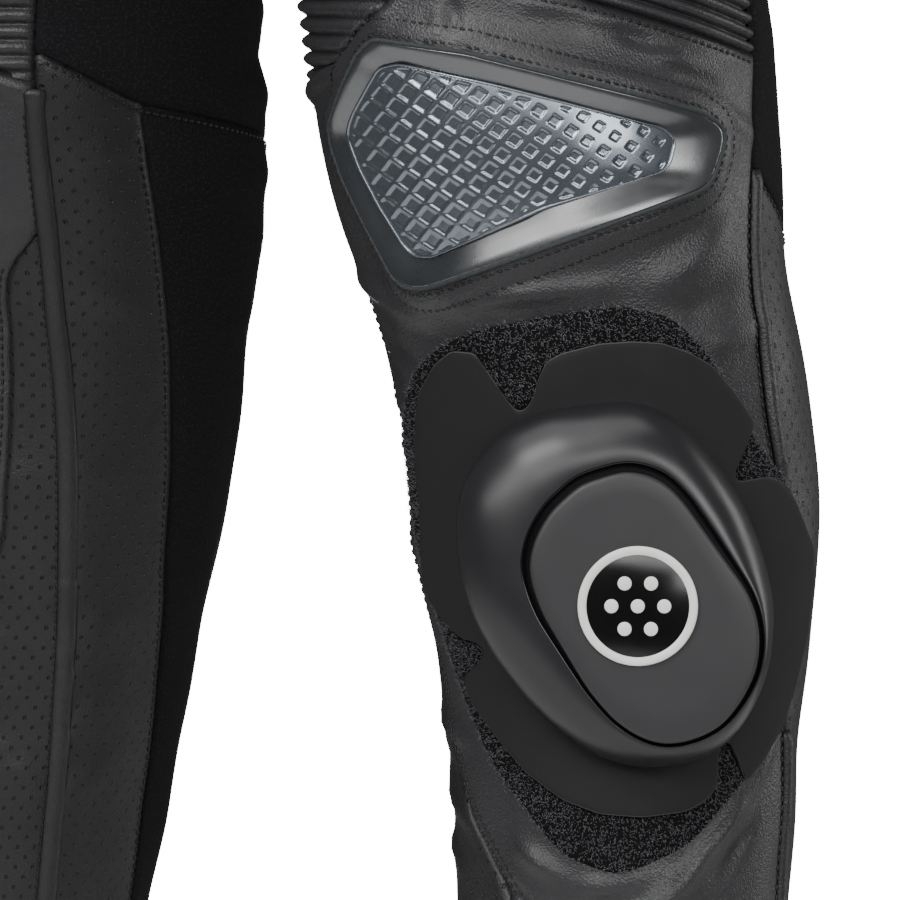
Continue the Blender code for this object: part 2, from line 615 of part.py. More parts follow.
def piping(side, tag, pipe):
    """A rolled strip that lies along a seam."""
    loops = []
    for z in levels_between(pipe.top, pipe.bottom):
        angle = seam_angle(pipe.seam, z) + pipe.shift
        spread = math.degrees(PIPE_HALF / section(z).half_width)
        loops.append([skin(angle + spread * point.share, z, point.lift * MM) for point in PIPE])
    ends = [tuple(sum(axis) / len(PIPE) for axis in zip(*loop)) for loop in (loops[0], loops[-1])]
    return capped(pipe.name + tag, loops, ends[0], ends[1], leather, side)


def body_ring(z, lift):
    """A closed ring round both halves of the body."""
    left = [skin(turn, z, lift) for turn in WAIST_TURNS]
    front, back = skin(0, z, lift), skin(180, z, lift)
    right = [(-x, y, height) for x, y, height in reversed(left)]
    return [(0.0, front[1], z)] + left + [(0.0, back[1], z)] + right


def front_strip(name, levels, left, right, back, top, material):
    """A strip over the front middle, between two distances from the middle at each level."""
    outside, inside = [], []
    for z in levels:
        ring = section(z)
        places = [left(z) + (right(z) - left(z)) * k / STRIP_COLUMNS for k in range(STRIP_COLUMNS + 1)]
        turns = [math.asin((abs(x) - ring.middle) / ring.half_width) for x in places]
        for rows, lift in ((outside, top), (inside, back)):
            rows.append([(x, ring.back_shift - (ring.front + lift) * math.cos(turn), z)
                         for x, turn in zip(places, turns)])
    return wall(name, outside, inside, material)


def fly_edge(z):
    """How far the fly's curved edge lies from the front middle."""
    down = (FLY_TOP - z) / (FLY_TOP - FLY_FOOT)
    return -FLY_WIDTH * math.sqrt(max(0.02, 1 - down ** 3))


def waist():
    """The waistband, its closing tab with a snap, and the flap over the fly."""
    levels = [0.0, BAND_FOOT / 2, BAND_FOOT + SEAM_GAP]
    wall("waistband", [body_ring(z, BAND_OUT) for z in levels], [body_ring(z, BAND_IN) for z in levels],
         leather, closed=True)
    front_strip("waist_tab", TAB_LEVELS, at_angle(TAB_LEFT), at_angle(TAB_RIGHT), TAB_BACK, TAB_TOP, leather)
    fly_levels = [FLY_TOP + (FLY_FOOT - FLY_TOP) * k / FLY_ROWS for k in range(FLY_ROWS + 1)]
    front_strip("fly_flap", fly_levels, fly_edge, at_angle(FLY_LAP), FLY_BACK, FLY_FRONT, leather)
    bpy.ops.mesh.primitive_cylinder_add(vertices=16, radius=SNAP_RADIUS, depth=SNAP_DEPTH)
    snap = bpy.context.object
    snap.name = "waist_snap"
    snap.data.name = "waist_snap"
    ring = section(SNAP_LEVEL)
    depth = ring.front * math.cos(math.asin((abs(SNAP_PLACE) - ring.middle) / ring.half_width))
    snap.rotation_euler = (math.radians(90), 0, 0)
    snap.location = (SNAP_PLACE, ring.back_shift - depth - SNAP_OUT, SNAP_LEVEL)
    bevel = snap.modifiers.new("edge", "BEVEL")
    bevel.width = SNAP_EDGE
    bevel.segments = 1
    snap.data.materials.append(metal)
    for collection in list(snap.users_collection):
        collection.objects.unlink(snap)
    garment.objects.link(snap)


for old in list(bpy.data.objects):
    bpy.data.objects.remove(old, do_unlink=True)
garment = bpy.data.collections.new("leather_pants")
bpy.context.scene.collection.children.link(garment)

leather = make_material("black_leather", (0.030, 0.030, 0.033), 0.55)
perforated = make_material("perforated_leather", (0.026, 0.026, 0.028), 0.6)
stretch = make_material("stretch_cloth", (0.008, 0.008, 0.009), 0.9)
satin = make_material("satin_frame", (0.040, 0.045, 0.052), 0.35)
gloss = make_material("gloss_insert", (0.10, 0.11, 0.125), 0.15, 0.6)
loop_pile = make_material("loop_pile", (0.006, 0.006, 0.006), 1.0)
base_rubber = make_material("slider_base", (0.014, 0.014, 0.015), 0.8)
slider_plastic = make_material("slider_plastic", (0.035, 0.034, 0.037), 0.4)
white = make_material("badge_white", (0.85, 0.85, 0.85), 0.4)
metal = make_material("snap_metal", (0.10, 0.10, 0.11), 0.3, 1.0)

for leg_side, leg_tag in ((1, "L"), (-1, "R")):
    cloth(leg_side, leg_tag)
    for row in PIPES:
        piping(leg_side, leg_tag, row)
    knee_plate(leg_side, leg_tag)
    knee_slider(leg_side, leg_tag)
waist()
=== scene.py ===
# %% [markdown]
# A pair of black leather riding pants, hollow and standing as if worn. The solid model gives the
# sizes and the collision, and this script dresses it: leather with folds, seams and stitches,
# ribbed knees, a moulded knee plate and a knee slider that sticks to a fuzzy patch.
# All lengths are in metres unless a name ends in _MM or the code multiplies them by MM.

# %% Load the frame
import math
from collections import namedtuple

import bmesh
import bpy
import numpy as np
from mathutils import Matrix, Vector


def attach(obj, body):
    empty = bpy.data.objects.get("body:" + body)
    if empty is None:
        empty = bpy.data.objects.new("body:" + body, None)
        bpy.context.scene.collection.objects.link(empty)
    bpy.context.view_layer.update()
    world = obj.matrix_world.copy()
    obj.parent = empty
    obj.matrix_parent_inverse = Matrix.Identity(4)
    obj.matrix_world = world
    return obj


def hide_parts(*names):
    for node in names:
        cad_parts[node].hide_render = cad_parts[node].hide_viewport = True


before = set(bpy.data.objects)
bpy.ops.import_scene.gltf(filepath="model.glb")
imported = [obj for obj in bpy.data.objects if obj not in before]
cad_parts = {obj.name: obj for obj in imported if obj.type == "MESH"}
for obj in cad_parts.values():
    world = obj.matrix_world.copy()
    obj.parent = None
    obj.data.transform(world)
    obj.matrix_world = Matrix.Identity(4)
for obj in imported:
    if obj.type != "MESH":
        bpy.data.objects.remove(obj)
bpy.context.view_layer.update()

MM = 0.001
SIDES = {1: "L", -1: "R"}

# %% [markdown]
# Clothes are drafted as sections round the body. Each row here is a ring round the left leg, or
# half of a ring round the body above the crotch. The same rows shaped the solids. Read straight
# they would give a kinked tube, so a running average rounds them off, as cloth does by itself.

# %% Sections of the left half
Section = namedtuple("Section", "z middle back_shift half_width front back")
SECTIONS = [
    Section(0.000, 0.0000, 0.0000, 0.1550, 0.1200, 0.1240),
    Section(-0.045, 0.0040, 0.0000, 0.1570, 0.1220, 0.1300),
    Section(-0.100, 0.0200, 0.0000, 0.1560, 0.1280, 0.1430),
    Section(-0.160, 0.0420, 0.0000, 0.1410, 0.1310, 0.1500),
    Section(-0.205, 0.0640, 0.0000, 0.1210, 0.1240, 0.1400),
    Section(-0.232, 0.0820, 0.0000, 0.1055, 0.1120, 0.1220),
    Section(-0.250, 0.0945, 0.0000, 0.0938, 0.1040, 0.1100),
    Section(-0.300, 0.1040, 0.0010, 0.0925, 0.0970, 0.1000),
    Section(-0.400, 0.1310, 0.0010, 0.0860, 0.0880, 0.0890),
    Section(-0.473, 0.1500, 0.0000, 0.0805, 0.0805, 0.0805),
    Section(-0.508, 0.1540, 0.0010, 0.0800, 0.0800, 0.0800),
    Section(-0.531, 0.1568, 0.0042, 0.0786, 0.0786, 0.0786),
    Section(-0.577, 0.1615, 0.0135, 0.0746, 0.0746, 0.0746),
    Section(-0.611, 0.1650, 0.0182, 0.0718, 0.0718, 0.0718),
    Section(-0.646, 0.1694, 0.0200, 0.0693, 0.0693, 0.0693),
    Section(-0.680, 0.1740, 0.0197, 0.0666, 0.0666, 0.0666),
    Section(-0.714, 0.1782, 0.0182, 0.0634, 0.0634, 0.0634),
    Section(-0.749, 0.1825, 0.0152, 0.0600, 0.0600, 0.0600),
    Section(-0.783, 0.1868, 0.0118, 0.0568, 0.0568, 0.0568),
    Section(-0.850, 0.1950, 0.0090, 0.0540, 0.0540, 0.0540),
    Section(-0.920, 0.2030, 0.0080, 0.0525, 0.0525, 0.0525),
    Section(-0.985, 0.2100, 0.0080, 0.0520, 0.0520, 0.0520),
]
BAND_FOOT = -0.045
CROTCH = -0.250
GUSSET_TOP = -0.262
RIB_TOP = -0.425
SHIN_START = -0.567
HEM = -0.985
STEP = 1 * MM
HEIGHTS = np.arange(-1.0, 0.01 + STEP / 2, STEP)


def soften(values, reach):
    """A running average over a reach in metres, with the ends held."""
    half = int(round(reach / STEP / 2))
    padded = np.concatenate([np.full(half, values[0]), values, np.full(half, values[-1])])
    return np.convolve(padded, np.ones(2 * half + 1) / (2 * half + 1), mode="valid")


def column(rows, key, name):
    """One column of a table, read at every height."""
    rows = sorted(rows, key=lambda row: getattr(row, key))
    return np.interp(HEIGHTS, [getattr(row, key) for row in rows], [getattr(row, name) for row in rows])


SMOOTH = {name: soften(column(SECTIONS, "z", name), 0.03) for name in Section._fields[1:]}


def ring(name, z):
    """One measure of the sections, read at any height."""
    return np.interp(z, HEIGHTS, SMOOTH[name])


print("knee, mm round:", round(2 * math.pi * float(ring("half_width", -0.5)) * 1000))

# %% [markdown]
# A seam is a line between two panels. Running down the leg, it is an angle at each height, counted
# from the front towards the outside. Running round the leg, it is a height at each angle.

# %% Seams
Seam = namedtuple("Seam", "z angle")
OUTER_SEAM = [
    Seam(0.000, 92), Seam(-0.250, 98), Seam(-0.385, 116), Seam(-0.425, 119), Seam(-0.494, 121),
    Seam(-0.531, 114), Seam(-0.577, 105), Seam(-0.620, 103), Seam(-0.660, 107), Seam(-0.740, 119),
    Seam(-0.785, 124), Seam(-0.985, 125),
]
INNER_SEAM = [
    Seam(-0.250, -88), Seam(-0.272, -68), Seam(-0.310, -54), Seam(-0.400, -52),
    Seam(-0.600, -52), Seam(-0.700, -60), Seam(-0.783, -68), Seam(-0.985, -72),
]
SHIN_SEAM = [
    Seam(-0.560, -52), Seam(SHIN_START, -50.8), Seam(-0.577, -40), Seam(-0.590, -37), Seam(-0.686, -37),
    Seam(-0.714, -28), Seam(-0.733, -25), Seam(-0.762, -9), Seam(-0.783, 6),
    Seam(-0.830, 24), Seam(-0.985, 32),
]
CALF_SEAM = [
    Seam(-0.510, 278), Seam(-0.600, 272), Seam(-0.700, 262), Seam(-0.783, 246), Seam(-0.985, 240),
]
GUSSET_BACK = [
    Seam(-0.250, 268), Seam(-0.272, 250), Seam(-0.310, 234), Seam(-0.425, 228),
]
BACK_SEAM = 165.0
CENTRE_START = 20.0
CENTRE_END = 64.0
Level = namedtuple("Level", "angle z")
KNEE_TOP = [
    Level(-52, -0.508), Level(-35, -0.501), Level(-7, -0.494), Level(4, -0.484), Level(20, -0.467),
    Level(42, -0.467), Level(64, -0.473), Level(83, -0.480), Level(98, -0.486), Level(121, -0.494),
]
KNEE_BACK_FOOT = [
    Level(100, -0.522), Level(114, -0.531), Level(136, -0.557), Level(165, -0.562),
    Level(218, -0.532), Level(278, -0.517), Level(308, -0.496),
]

# %% Reading a seam


def seam(rows, reach=0.016):
    """A function that gives a seam's angle at any height, with its corners softened."""
    line = soften(column(rows, "z", "angle"), reach)
    return lambda z: np.interp(z, HEIGHTS, line)


def level(rows):
    """A function that gives a seam's height at any angle, with its corners softened."""
    angles = np.arange(-90.0, 360.0)
    line = np.interp(angles, [row.angle for row in rows], [row.z for row in rows])
    line = np.convolve(np.pad(line, 4, mode="edge"), np.ones(9) / 9, mode="valid")
    return lambda angle: np.interp(angle, angles, line)


def flat(value):
    """A seam that keeps to one height or one angle."""
    return lambda place: np.full_like(np.asarray(place, float), value)


outer_seam, inner_seam = seam(OUTER_SEAM), seam(INNER_SEAM)
shin_line, calf_seam, gusset_back = seam(SHIN_SEAM), seam(CALF_SEAM), seam(GUSSET_BACK)
knee_top, knee_back_foot = level(KNEE_TOP), level(KNEE_BACK_FOOT)


def front_middle(z):
    """The angle of the body's front middle, seen from the left half's own middle."""
    share = np.clip(ring("middle", z) / ring("half_width", z), -1, 1)
    return -np.degrees(np.arcsin(share))


def front_inner(z):
    """Where the front of the thigh ends: the front middle, then the inner seam."""
    return np.where(z > CROTCH, front_middle(z), inner_seam(z))


def back_inner(z):
    """Where the back of the thigh ends: the back middle, then the gusset."""
    return np.where(z > CROTCH, 180 - front_middle(z), gusset_back(z))


def shin_edge(z):
    """The inner edge of the shin's front panel."""
    return np.maximum(shin_line(z), inner_seam(z))


def inner_turned(z):
    """The inner seam, counted the long way round past the back."""
    return 360 + inner_seam(z)


print("outer seam at the knee, degrees:", round(float(outer_seam(-0.5)), 1))

# %% [markdown]
# The outlines of the plate, the patch and the slider were drafted on a flat sheet held in front of
# the knee. The function wrap turns such a place into an angle and a height on the leg, as a
# template bends round it. Across and up are in millimetres.

# %% Templates
Spot = namedtuple("Spot", "across up")
PLATE = [
    Spot(-24.8, 140.7), Spot(7.6, 136.6), Spot(34.5, 130.0), Spot(72.8, 120.3), Spot(88.3, 115.5),
    Spot(95.5, 110.3), Spot(95.5, 104.8), Spot(91.7, 93.4), Spot(88.3, 90.0), Spot(56.9, 79.0),
    Spot(23.4, 66.6), Spot(-6.9, 55.2), Spot(-13.8, 54.8), Spot(-18.3, 58.3), Spot(-28.3, 76.6),
    Spot(-36.2, 92.4), Spot(-40.0, 103.4), Spot(-40.7, 110.3), Spot(-36.2, 122.8), Spot(-30.3, 135.2),
]
INSERT = [
    Spot(-24.8, 131.0), Spot(-17.2, 132.8), Spot(16.6, 125.9), Spot(40.0, 120.3), Spot(76.2, 111.0),
    Spot(80.7, 106.9), Spot(78.3, 97.9), Spot(75.5, 95.9), Spot(34.5, 84.1), Spot(3.1, 70.0),
    Spot(-5.9, 65.9), Spot(-12.4, 65.9), Spot(-16.6, 69.3), Spot(-25.9, 83.4), Spot(-33.2, 96.9),
    Spot(-36.6, 105.9), Spot(-36.6, 109.3), Spot(-34.5, 114.8), Spot(-28.6, 124.8),
]
PATCH = [
    Spot(-16.9, 5.2), Spot(-13.1, 23.1), Spot(-4.5, 33.1), Spot(10.3, 40.7), Spot(35.2, 45.9),
    Spot(60.0, 49.7), Spot(78.6, 45.9), Spot(92.8, 30.0), Spot(104.5, 4.1), Spot(118.0, -20.0),
    Spot(121.0, -50.0), Spot(119.0, -81.0), Spot(108.6, -111.0), Spot(84.8, -136.9), Spot(60.0, -146.9),
    Spot(39.3, -140.0), Spot(15.5, -111.0), Spot(5.5, -89.3), Spot(-1.4, -70.7), Spot(-9.3, -40.7),
]
BASE = [
    Spot(-8.3, -51.7), Spot(-9.3, -22.4), Spot(-11.7, -7.6), Spot(-11.7, 7.2), Spot(-10.3, 17.2),
    Spot(-4.5, 28.0), Spot(1.7, 33.4), Spot(9.7, 33.1), Spot(13.4, 28.0), Spot(18.3, 21.0),
    Spot(22.4, 15.5), Spot(25.2, 13.1), Spot(28.3, 14.5), Spot(30.7, 18.9), Spot(32.4, 25.2),
    Spot(35.2, 31.0), Spot(40.3, 33.8), Spot(53.1, 37.2), Spot(64.8, 37.9), Spot(74.8, 37.2),
    Spot(83.8, 33.8), Spot(91.7, 29.0), Spot(98.6, 20.0), Spot(103.4, 12.1), Spot(105.2, 8.3),
    Spot(103.4, 2.4), Spot(100.7, -3.8), Spot(98.6, -8.6), Spot(99.7, -11.7), Spot(103.4, -11.4),
    Spot(109.0, -10.7), Spot(113.4, -12.8), Spot(117.2, -18.6), Spot(120.3, -27.6), Spot(123.4, -37.2),
    Spot(124.1, -47.2), Spot(123.4, -67.6), Spot(120.3, -85.5), Spot(116.6, -99.3), Spot(110.3, -110.0),
    Spot(104.5, -116.6), Spot(102.1, -109.3), Spot(100.7, -104.1), Spot(97.6, -101.7), Spot(95.5, -102.8),
    Spot(94.5, -107.2), Spot(94.5, -113.1), Spot(93.8, -117.9), Spot(89.7, -122.1), Spot(82.8, -125.2),
    Spot(67.9, -126.6), Spot(53.1, -125.5), Spot(40.3, -121.0), Spot(27.2, -112.1), Spot(18.3, -102.4),
    Spot(10.3, -93.1), Spot(6.6, -86.6), Spot(5.5, -81.4), Spot(8.6, -78.6), Spot(12.4, -73.4),
    Spot(13.1, -70.7), Spot(10.3, -68.6), Spot(4.5, -67.9), Spot(-2.8, -61.7), Spot(-5.5, -57.6),
]
BODY = [
    Spot(57.9, 17.2), Spot(35.2, 14.1), Spot(20.3, 7.2), Spot(11.4, -2.8), Spot(5.5, -12.8),
    Spot(3.8, -23.4), Spot(4.5, -35.5), Spot(6.6, -46.6), Spot(10.3, -57.6), Spot(17.6, -70.7),
    Spot(27.2, -83.4), Spot(37.2, -93.4), Spot(47.2, -101.4), Spot(55.2, -105.9), Spot(64.8, -108.3),
    Spot(74.8, -108.6), Spot(84.8, -106.6), Spot(94.5, -102.4), Spot(102.4, -94.5), Spot(108.6, -83.4),
    Spot(112.4, -71.0), Spot(113.4, -57.6), Spot(112.8, -47.6), Spot(108.6, -32.4), Spot(102.4, -17.6),
    Spot(94.5, -5.5), Spot(85.9, 5.2), Spot(78.6, 12.1), Spot(69.0, 16.6),
]
FACE = [
    Spot(61.0, -0.7), Spot(45.2, -5.5), Spot(34.1, -15.5), Spot(28.3, -25.5), Spot(25.9, -35.5),
    Spot(27.2, -43.8), Spot(31.4, -54.8), Spot(39.3, -66.9), Spot(49.0, -81.4), Spot(57.9, -91.4),
    Spot(64.8, -96.2), Spot(71.7, -99.3), Spot(78.6, -100.0), Spot(87.6, -97.9), Spot(96.6, -93.1),
    Spot(103.4, -84.5), Spot(108.6, -74.5), Spot(110.3, -63.8), Spot(109.3, -54.0), Spot(106.0, -45.0),
    Spot(98.6, -33.4), Spot(91.7, -22.8), Spot(84.8, -12.8), Spot(77.9, -5.5), Spot(70.0, -1.7),
]
PLATE_MIDDLE = Spot(20.0, 100.0)
SLIDER_MIDDLE = Spot(62.0, -46.0)
BADGE_MIDDLE = Spot(66.5, -50.5)
BADGE_RADIUS_MM = 20.5
FACING = 50.5
VIEW = 52.0
PLANE_START = 64.1 * MM
PLANE_HEIGHT = -0.628

# %% Bending a template round the leg


def axis_across(z):
    """Where the leg's axis lies across the template, in metres."""
    turn = math.radians(VIEW)
    return ring("middle", z) * math.cos(turn) + ring("back_shift", z) * math.sin(turn) - PLANE_START


def wrap(places, lift):
    """Template places, as rows of across and up, to angles and heights of a surface off the leg."""
    places = np.asarray(places, float)
    z = PLANE_HEIGHT + places[..., 1] * MM
    reach = (places[..., 0] * MM - axis_across(z)) / (ring("half_width", z) + lift)
    return np.stack([FACING + np.degrees(np.arcsin(np.clip(reach, -0.985, 0.985))), z], axis=-1)


def rounded(outline, corner_mm, count=720):
    """A closed outline through the given spots, with corners rounded by a running average."""
    spots = np.array(outline + outline[:1], float)
    run = np.concatenate([[0], np.cumsum(np.hypot(*np.diff(spots, axis=0).T))])
    at = np.linspace(0, run[-1], count, endpoint=False)
    line = np.stack([np.interp(at, run, spots[:, k]) for k in (0, 1)], axis=1)
    half = max(1, int(round(corner_mm / (run[-1] / count) / 2)))
    kernel = np.ones(2 * half + 1) / (2 * half + 1)
    for _ in range(2):
        wide = np.concatenate([line[-half:], line, line[:half]])
        line = np.stack([np.convolve(wide[:, k], kernel, mode="valid") for k in (0, 1)], axis=1)
    return line


def reach_at(line, middle, turns):
    """How far an outline lies from a middle in each direction."""
    away = line - np.array(middle)
    order = np.argsort(np.arctan2(away[:, 1], away[:, 0]))
    angles = np.arctan2(away[:, 1], away[:, 0])[order]
    far = np.hypot(away[:, 0], away[:, 1])[order]
    return np.interp(turns, angles, far, period=math.tau)


plate_line = rounded(PLATE, 4.0)
insert_line = rounded(INSERT, 3.0)
print("knee plate, mm wide in front view:", round(float(np.ptp(plate_line[:, 0]))))

# %% [markdown]
# Leather that is filled out still folds. Each fold is a soft ridge or trough with a place, a
# direction, a length, a width and a height, placed where the cloth is pushed together:
# under the knee plate, below the patch, behind the knee, at the crotch and above the hem.

# %% Folds
Fold = namedtuple("Fold", "angle z turn half_mm width_mm height_mm bend")
FOLDS = [
    # Between the plate and the patch
    Fold(40, -0.5745, 6, 38, 4.6, 2.99, 0.05), Fold(36, -0.5830, 3, 34, 3.0, -1.56, 0.04),
    Fold(34, -0.5900, 8, 30, 4.0, 1.82, 0.03), Fold(12, -0.5760, -20, 24, 3.2, 1.95, -0.1),
    Fold(2, -0.5900, -28, 22, 3.0, -1.69, -0.1), Fold(-8, -0.5820, -24, 24, 3.6, 2.21, -0.1),
    Fold(-18, -0.5960, -14, 22, 3.2, -1.82, 0.0), Fold(-24, -0.5750, -8, 24, 4.2, 2.47, 0.0),
    Fold(86, -0.5620, 32, 34, 5.5, 2.08, 0.1), Fold(84, -0.5790, 26, 30, 5.0, -1.43, 0.1),
    Fold(94, -0.5900, 18, 24, 4.5, 1.56, 0.0),
    # Left edge, beside the patch
    Fold(-24, -0.6170, -10, 24, 4.0, 1.2, 0.0), Fold(-28, -0.6040, -16, 22, 3.4, -1.0, 0.0),
    Fold(-30, -0.6320, -6, 20, 4.0, 0.8, 0.0),
    # Above the plate
    Fold(78, -0.4870, -24, 16, 2.4, -1.86, 0.1), Fold(86, -0.4930, -18, 18, 2.6, 1.71, 0.0),
    Fold(70, -0.4800, -14, 14, 2.2, 1.4, 0.1), Fold(94, -0.5010, -20, 16, 3.0, -1.4, 0.0),
    Fold(56, -0.4750, -8, 14, 2.6, 1.55, 0.0), Fold(32, -0.4800, 87, 11, 2.1, -1.7, 0.0),
    Fold(28.6, -0.4810, 87, 9, 2.4, 0.8, 0.0),
    Fold(108, -0.5160, -30, 20, 4.0, 1.4, 0.0),
    # Below the patch
    Fold(88, -0.7590, 42, 27, 4.2, 3.25, 0.1), Fold(94, -0.7700, 40, 24, 3.2, -2.12, 0.1),
    Fold(70, -0.7800, 30, 24, 3.8, 2.38, 0.1), Fold(50, -0.7760, 12, 26, 4.0, 2.5, 0.05),
    Fold(44, -0.7860, 14, 26, 3.4, -1.88, 0.0), Fold(22, -0.7720, -20, 20, 4.0, 2.12, 0.0),
    Fold(12, -0.7850, -24, 20, 3.2, -1.5, 0.0), Fold(58, -0.7930, 16, 28, 4.2, 2.5, 0.05),
    Fold(104, -0.7420, 50, 18, 3.5, 1.38, 0.0),
    # The hidden shin and the hem
    Fold(70, -0.8320, 14, 40, 7.0, 1.5, 0.1), Fold(20, -0.8450, -16, 36, 6.5, 1.7, -0.1),
    Fold(110, -0.8620, 22, 34, 6.0, 1.6, 0.1), Fold(60, -0.8860, 8, 46, 6.0, 2.0, 0.1),
    Fold(0, -0.9000, -12, 38, 6.0, 1.9, 0.0), Fold(40, -0.9200, 6, 44, 5.0, -1.4, 0.1),
    Fold(80, -0.9370, 16, 44, 6.0, 2.1, 0.0), Fold(-20, -0.9500, -10, 40, 5.5, 1.8, 0.1),
    Fold(180, -0.8500, 8, 44, 7.0, 1.8, 0.1), Fold(220, -0.8800, -12, 40, 6.0, 1.8, 0.0),
    Fold(150, -0.9150, 14, 40, 6.0, 1.9, 0.0), Fold(230, -0.9400, -8, 46, 6.0, 2.0, 0.1),
    Fold(280, -0.9100, 10, 36, 6.0, 1.6, 0.0), Fold(300, -0.8550, -14, 32, 6.5, 1.4, 0.0),
    # Behind the knee
    Fold(200, -0.4520, 6, 70, 6.0, 1.68, 0.06), Fold(215, -0.4700, -6, 74, 5.0, -1.32, 0.05),
    Fold(190, -0.4860, 4, 76, 6.0, 1.8, 0.06), Fold(225, -0.5020, -8, 66, 5.0, -1.2, 0.04),
    Fold(200, -0.5180, 6, 70, 6.0, 1.56, 0.06), Fold(170, -0.5350, 10, 44, 5.0, -0.96, 0.05),
    Fold(230, -0.5480, -4, 60, 6.5, 1.32, 0.05), Fold(190, -0.5760, 6, 54, 7.0, 1.08, 0.05),
    Fold(240, -0.6050, -14, 50, 7.0, 0.84, 0.0), Fold(180, -0.6500, 12, 50, 9.0, 0.84, 0.0),
    Fold(250, -0.5150, 20, 26, 5.0, 0.96, 0.0), Fold(262, -0.5420, 26, 24, 5.0, 0.78, 0.0),
    # Inside of the knee and shin
    Fold(288, -0.5350, -14, 22, 4.0, 1.0, 0.0), Fold(292, -0.5900, 24, 24, 6.0, 0.9, 0.0),
    Fold(296, -0.6600, 14, 24, 6.0, 0.8, 0.0), Fold(290, -0.7250, -18, 26, 5.0, 1.0, 0.0),
    Fold(310, -0.7800, 20, 26, 5.0, 1.0, 0.0), Fold(322, -0.6650, -20, 24, 6.0, 0.8, 0.0),
    Fold(334, -0.7300, -10, 30, 3.4, 1.5, 0.05), Fold(328, -0.7430, -12, 28, 3.2, -1.1, 0.0),
    Fold(336, -0.7570, -14, 30, 3.8, 1.7, 0.0), Fold(326, -0.7740, -16, 28, 3.6, 1.4, 0.0),
    Fold(291, -0.7380, -40, 22, 4.0, 1.3, 0.0), Fold(286, -0.7600, -44, 24, 4.2, 1.5, 0.0),
    Fold(280, -0.7840, -34, 24, 4.5, 1.4, 0.0), Fold(296, -0.7050, -24, 20, 3.4, 1.0, 0.0),
    # Thigh, crotch and seat
    Fold(-30, -0.2850, 34, 50, 9.0, 2.4, 0.1), Fold(-12, -0.2600, 24, 56, 8.0, -1.8, 0.1),
    Fold(-20, -0.2350, 14, 54, 9.0, 2.2, 0.1), Fold(10, -0.3200, 40, 46, 9.0, 1.6, 0.0),
    Fold(40, -0.3650, -12, 50, 9.0, 1.6, 0.0), Fold(86, -0.3900, 10, 44, 8.0, 1.6, 0.1),
    Fold(60, -0.4080, 4, 50, 6.0, -1.4, 0.0), Fold(120, -0.3600, -20, 44, 9.0, 1.5, 0.0),
    Fold(200, -0.2850, 8, 70, 8.0, 2.6, 0.08), Fold(215, -0.3080, -4, 64, 7.0, -2.2, 0.06),
    Fold(190, -0.3350, 8, 60, 8.0, 2.0, 0.05), Fold(220, -0.3800, -8, 56, 7.0, 2.0, 0.05),
    Fold(170, -0.4050, 6, 54, 7.0, -1.6, 0.05), Fold(236, -0.2400, -34, 40, 8.0, 2.0, 0.0),
    Fold(20, -0.1200, 70, 30, 9.0, 0.9, 0.0), Fold(120, -0.1300, 76, 34, 10.0, 0.9, 0.0),
    Fold(60, -0.0800, 84, 24, 7.0, 0.7, 0.0), Fold(150, -0.0850, 82, 24, 7.0, 0.8, 0.0),
]
# Broad swells where the knee and the calf are filled out, which carry the patch and the slider too
SWELLS = [
    Fold(128, -0.6500, 90, 95, 60.0, 5.0, 0.0), Fold(142, -0.4950, 90, 78, 40.0, 3.4, 0.0),
    Fold(142, -0.7650, 90, 78, 40.0, 2.8, 0.0), Fold(218, -0.5350, 90, 88, 45.0, 4.6, 0.0),
    Fold(218, -0.7850, 90, 66, 40.0, 2.4, 0.0), Fold(-38, -0.5450, 90, 42, 26.0, 2.0, 0.0),
    Fold(-38, -0.6640, 90, 44, 34.0, 2.1, 0.0), Fold(-38, -0.8000, 90, 40, 34.0, 1.4, 0.0),
]
RIPPLES = [
    (31.0, 7.0, 0.3), (-23.0, 13.0, 1.7), (47.0, -11.0, 2.6), (17.0, 29.0, 4.0), (-61.0, 19.0, 5.1),
]
RIPPLE_ACROSS_MM = 400
RIPPLE_UP_MM = 260
RIPPLE_HEIGHT = 0.2 * MM
FOLD_SCALE = 1.25
LEG_RADIUS_MM = 75.0
KNEE_RADIUS_MM = 78.0

# %% How folds lift the leather


def fold_lift(angle, z, folds):
    """How far folds lift the cloth at each place."""
    lift = np.zeros_like(z)
    rise = z * 1000
    for fold in folds:
        gap = (angle - fold.angle + 180) % 360 - 180
        along_leg = np.radians(gap) * LEG_RADIUS_MM
        up = rise - fold.z * 1000
        turn = math.radians(fold.turn)
        along = (along_leg * math.cos(turn) + up * math.sin(turn)) / fold.half_mm
        across = up * math.cos(turn) - along_leg * math.sin(turn)
        across = across - fold.bend * fold.half_mm * along ** 2
        fade = np.clip(1 - along ** 2, 0, 1) ** 2
        lift += FOLD_SCALE * fold.height_mm * MM * fade * np.exp(-(across / fold.width_mm) ** 2)
    return lift


def ripple_lift(angle, z):
    """A slow unevenness all over, as filled leather has."""
    run, rise = np.radians(angle) * LEG_RADIUS_MM, z * 1000
    return sum(RIPPLE_HEIGHT * np.sin(run * across / RIPPLE_ACROSS_MM + rise * up / RIPPLE_UP_MM + start)
               for across, up, start in RIPPLES)


# %% Room for the plate and the patch
SWELL = 3.6 * MM
EDGE_LIFT = 4.1 * MM
SWELL_REACH_MM = 15.0
SWELL_TOP_MM = 1.5
SWELL_UNDER_MM = 3.5
SWELL_UNDER_FADE_MM = 3.0
PLATE_LIFT = 3.6 * MM
plate_away = wrap(plate_line, PLATE_LIFT)
plate_middle = wrap([PLATE_MIDDLE], PLATE_LIFT)[0]


def from_plate(angle, z):
    """Millimetres on the leg's surface, round and up, from the plate's middle."""
    return np.stack([np.radians(angle - plate_middle[0]) * KNEE_RADIUS_MM,
                     (z - plate_middle[1]) * 1000], axis=1)


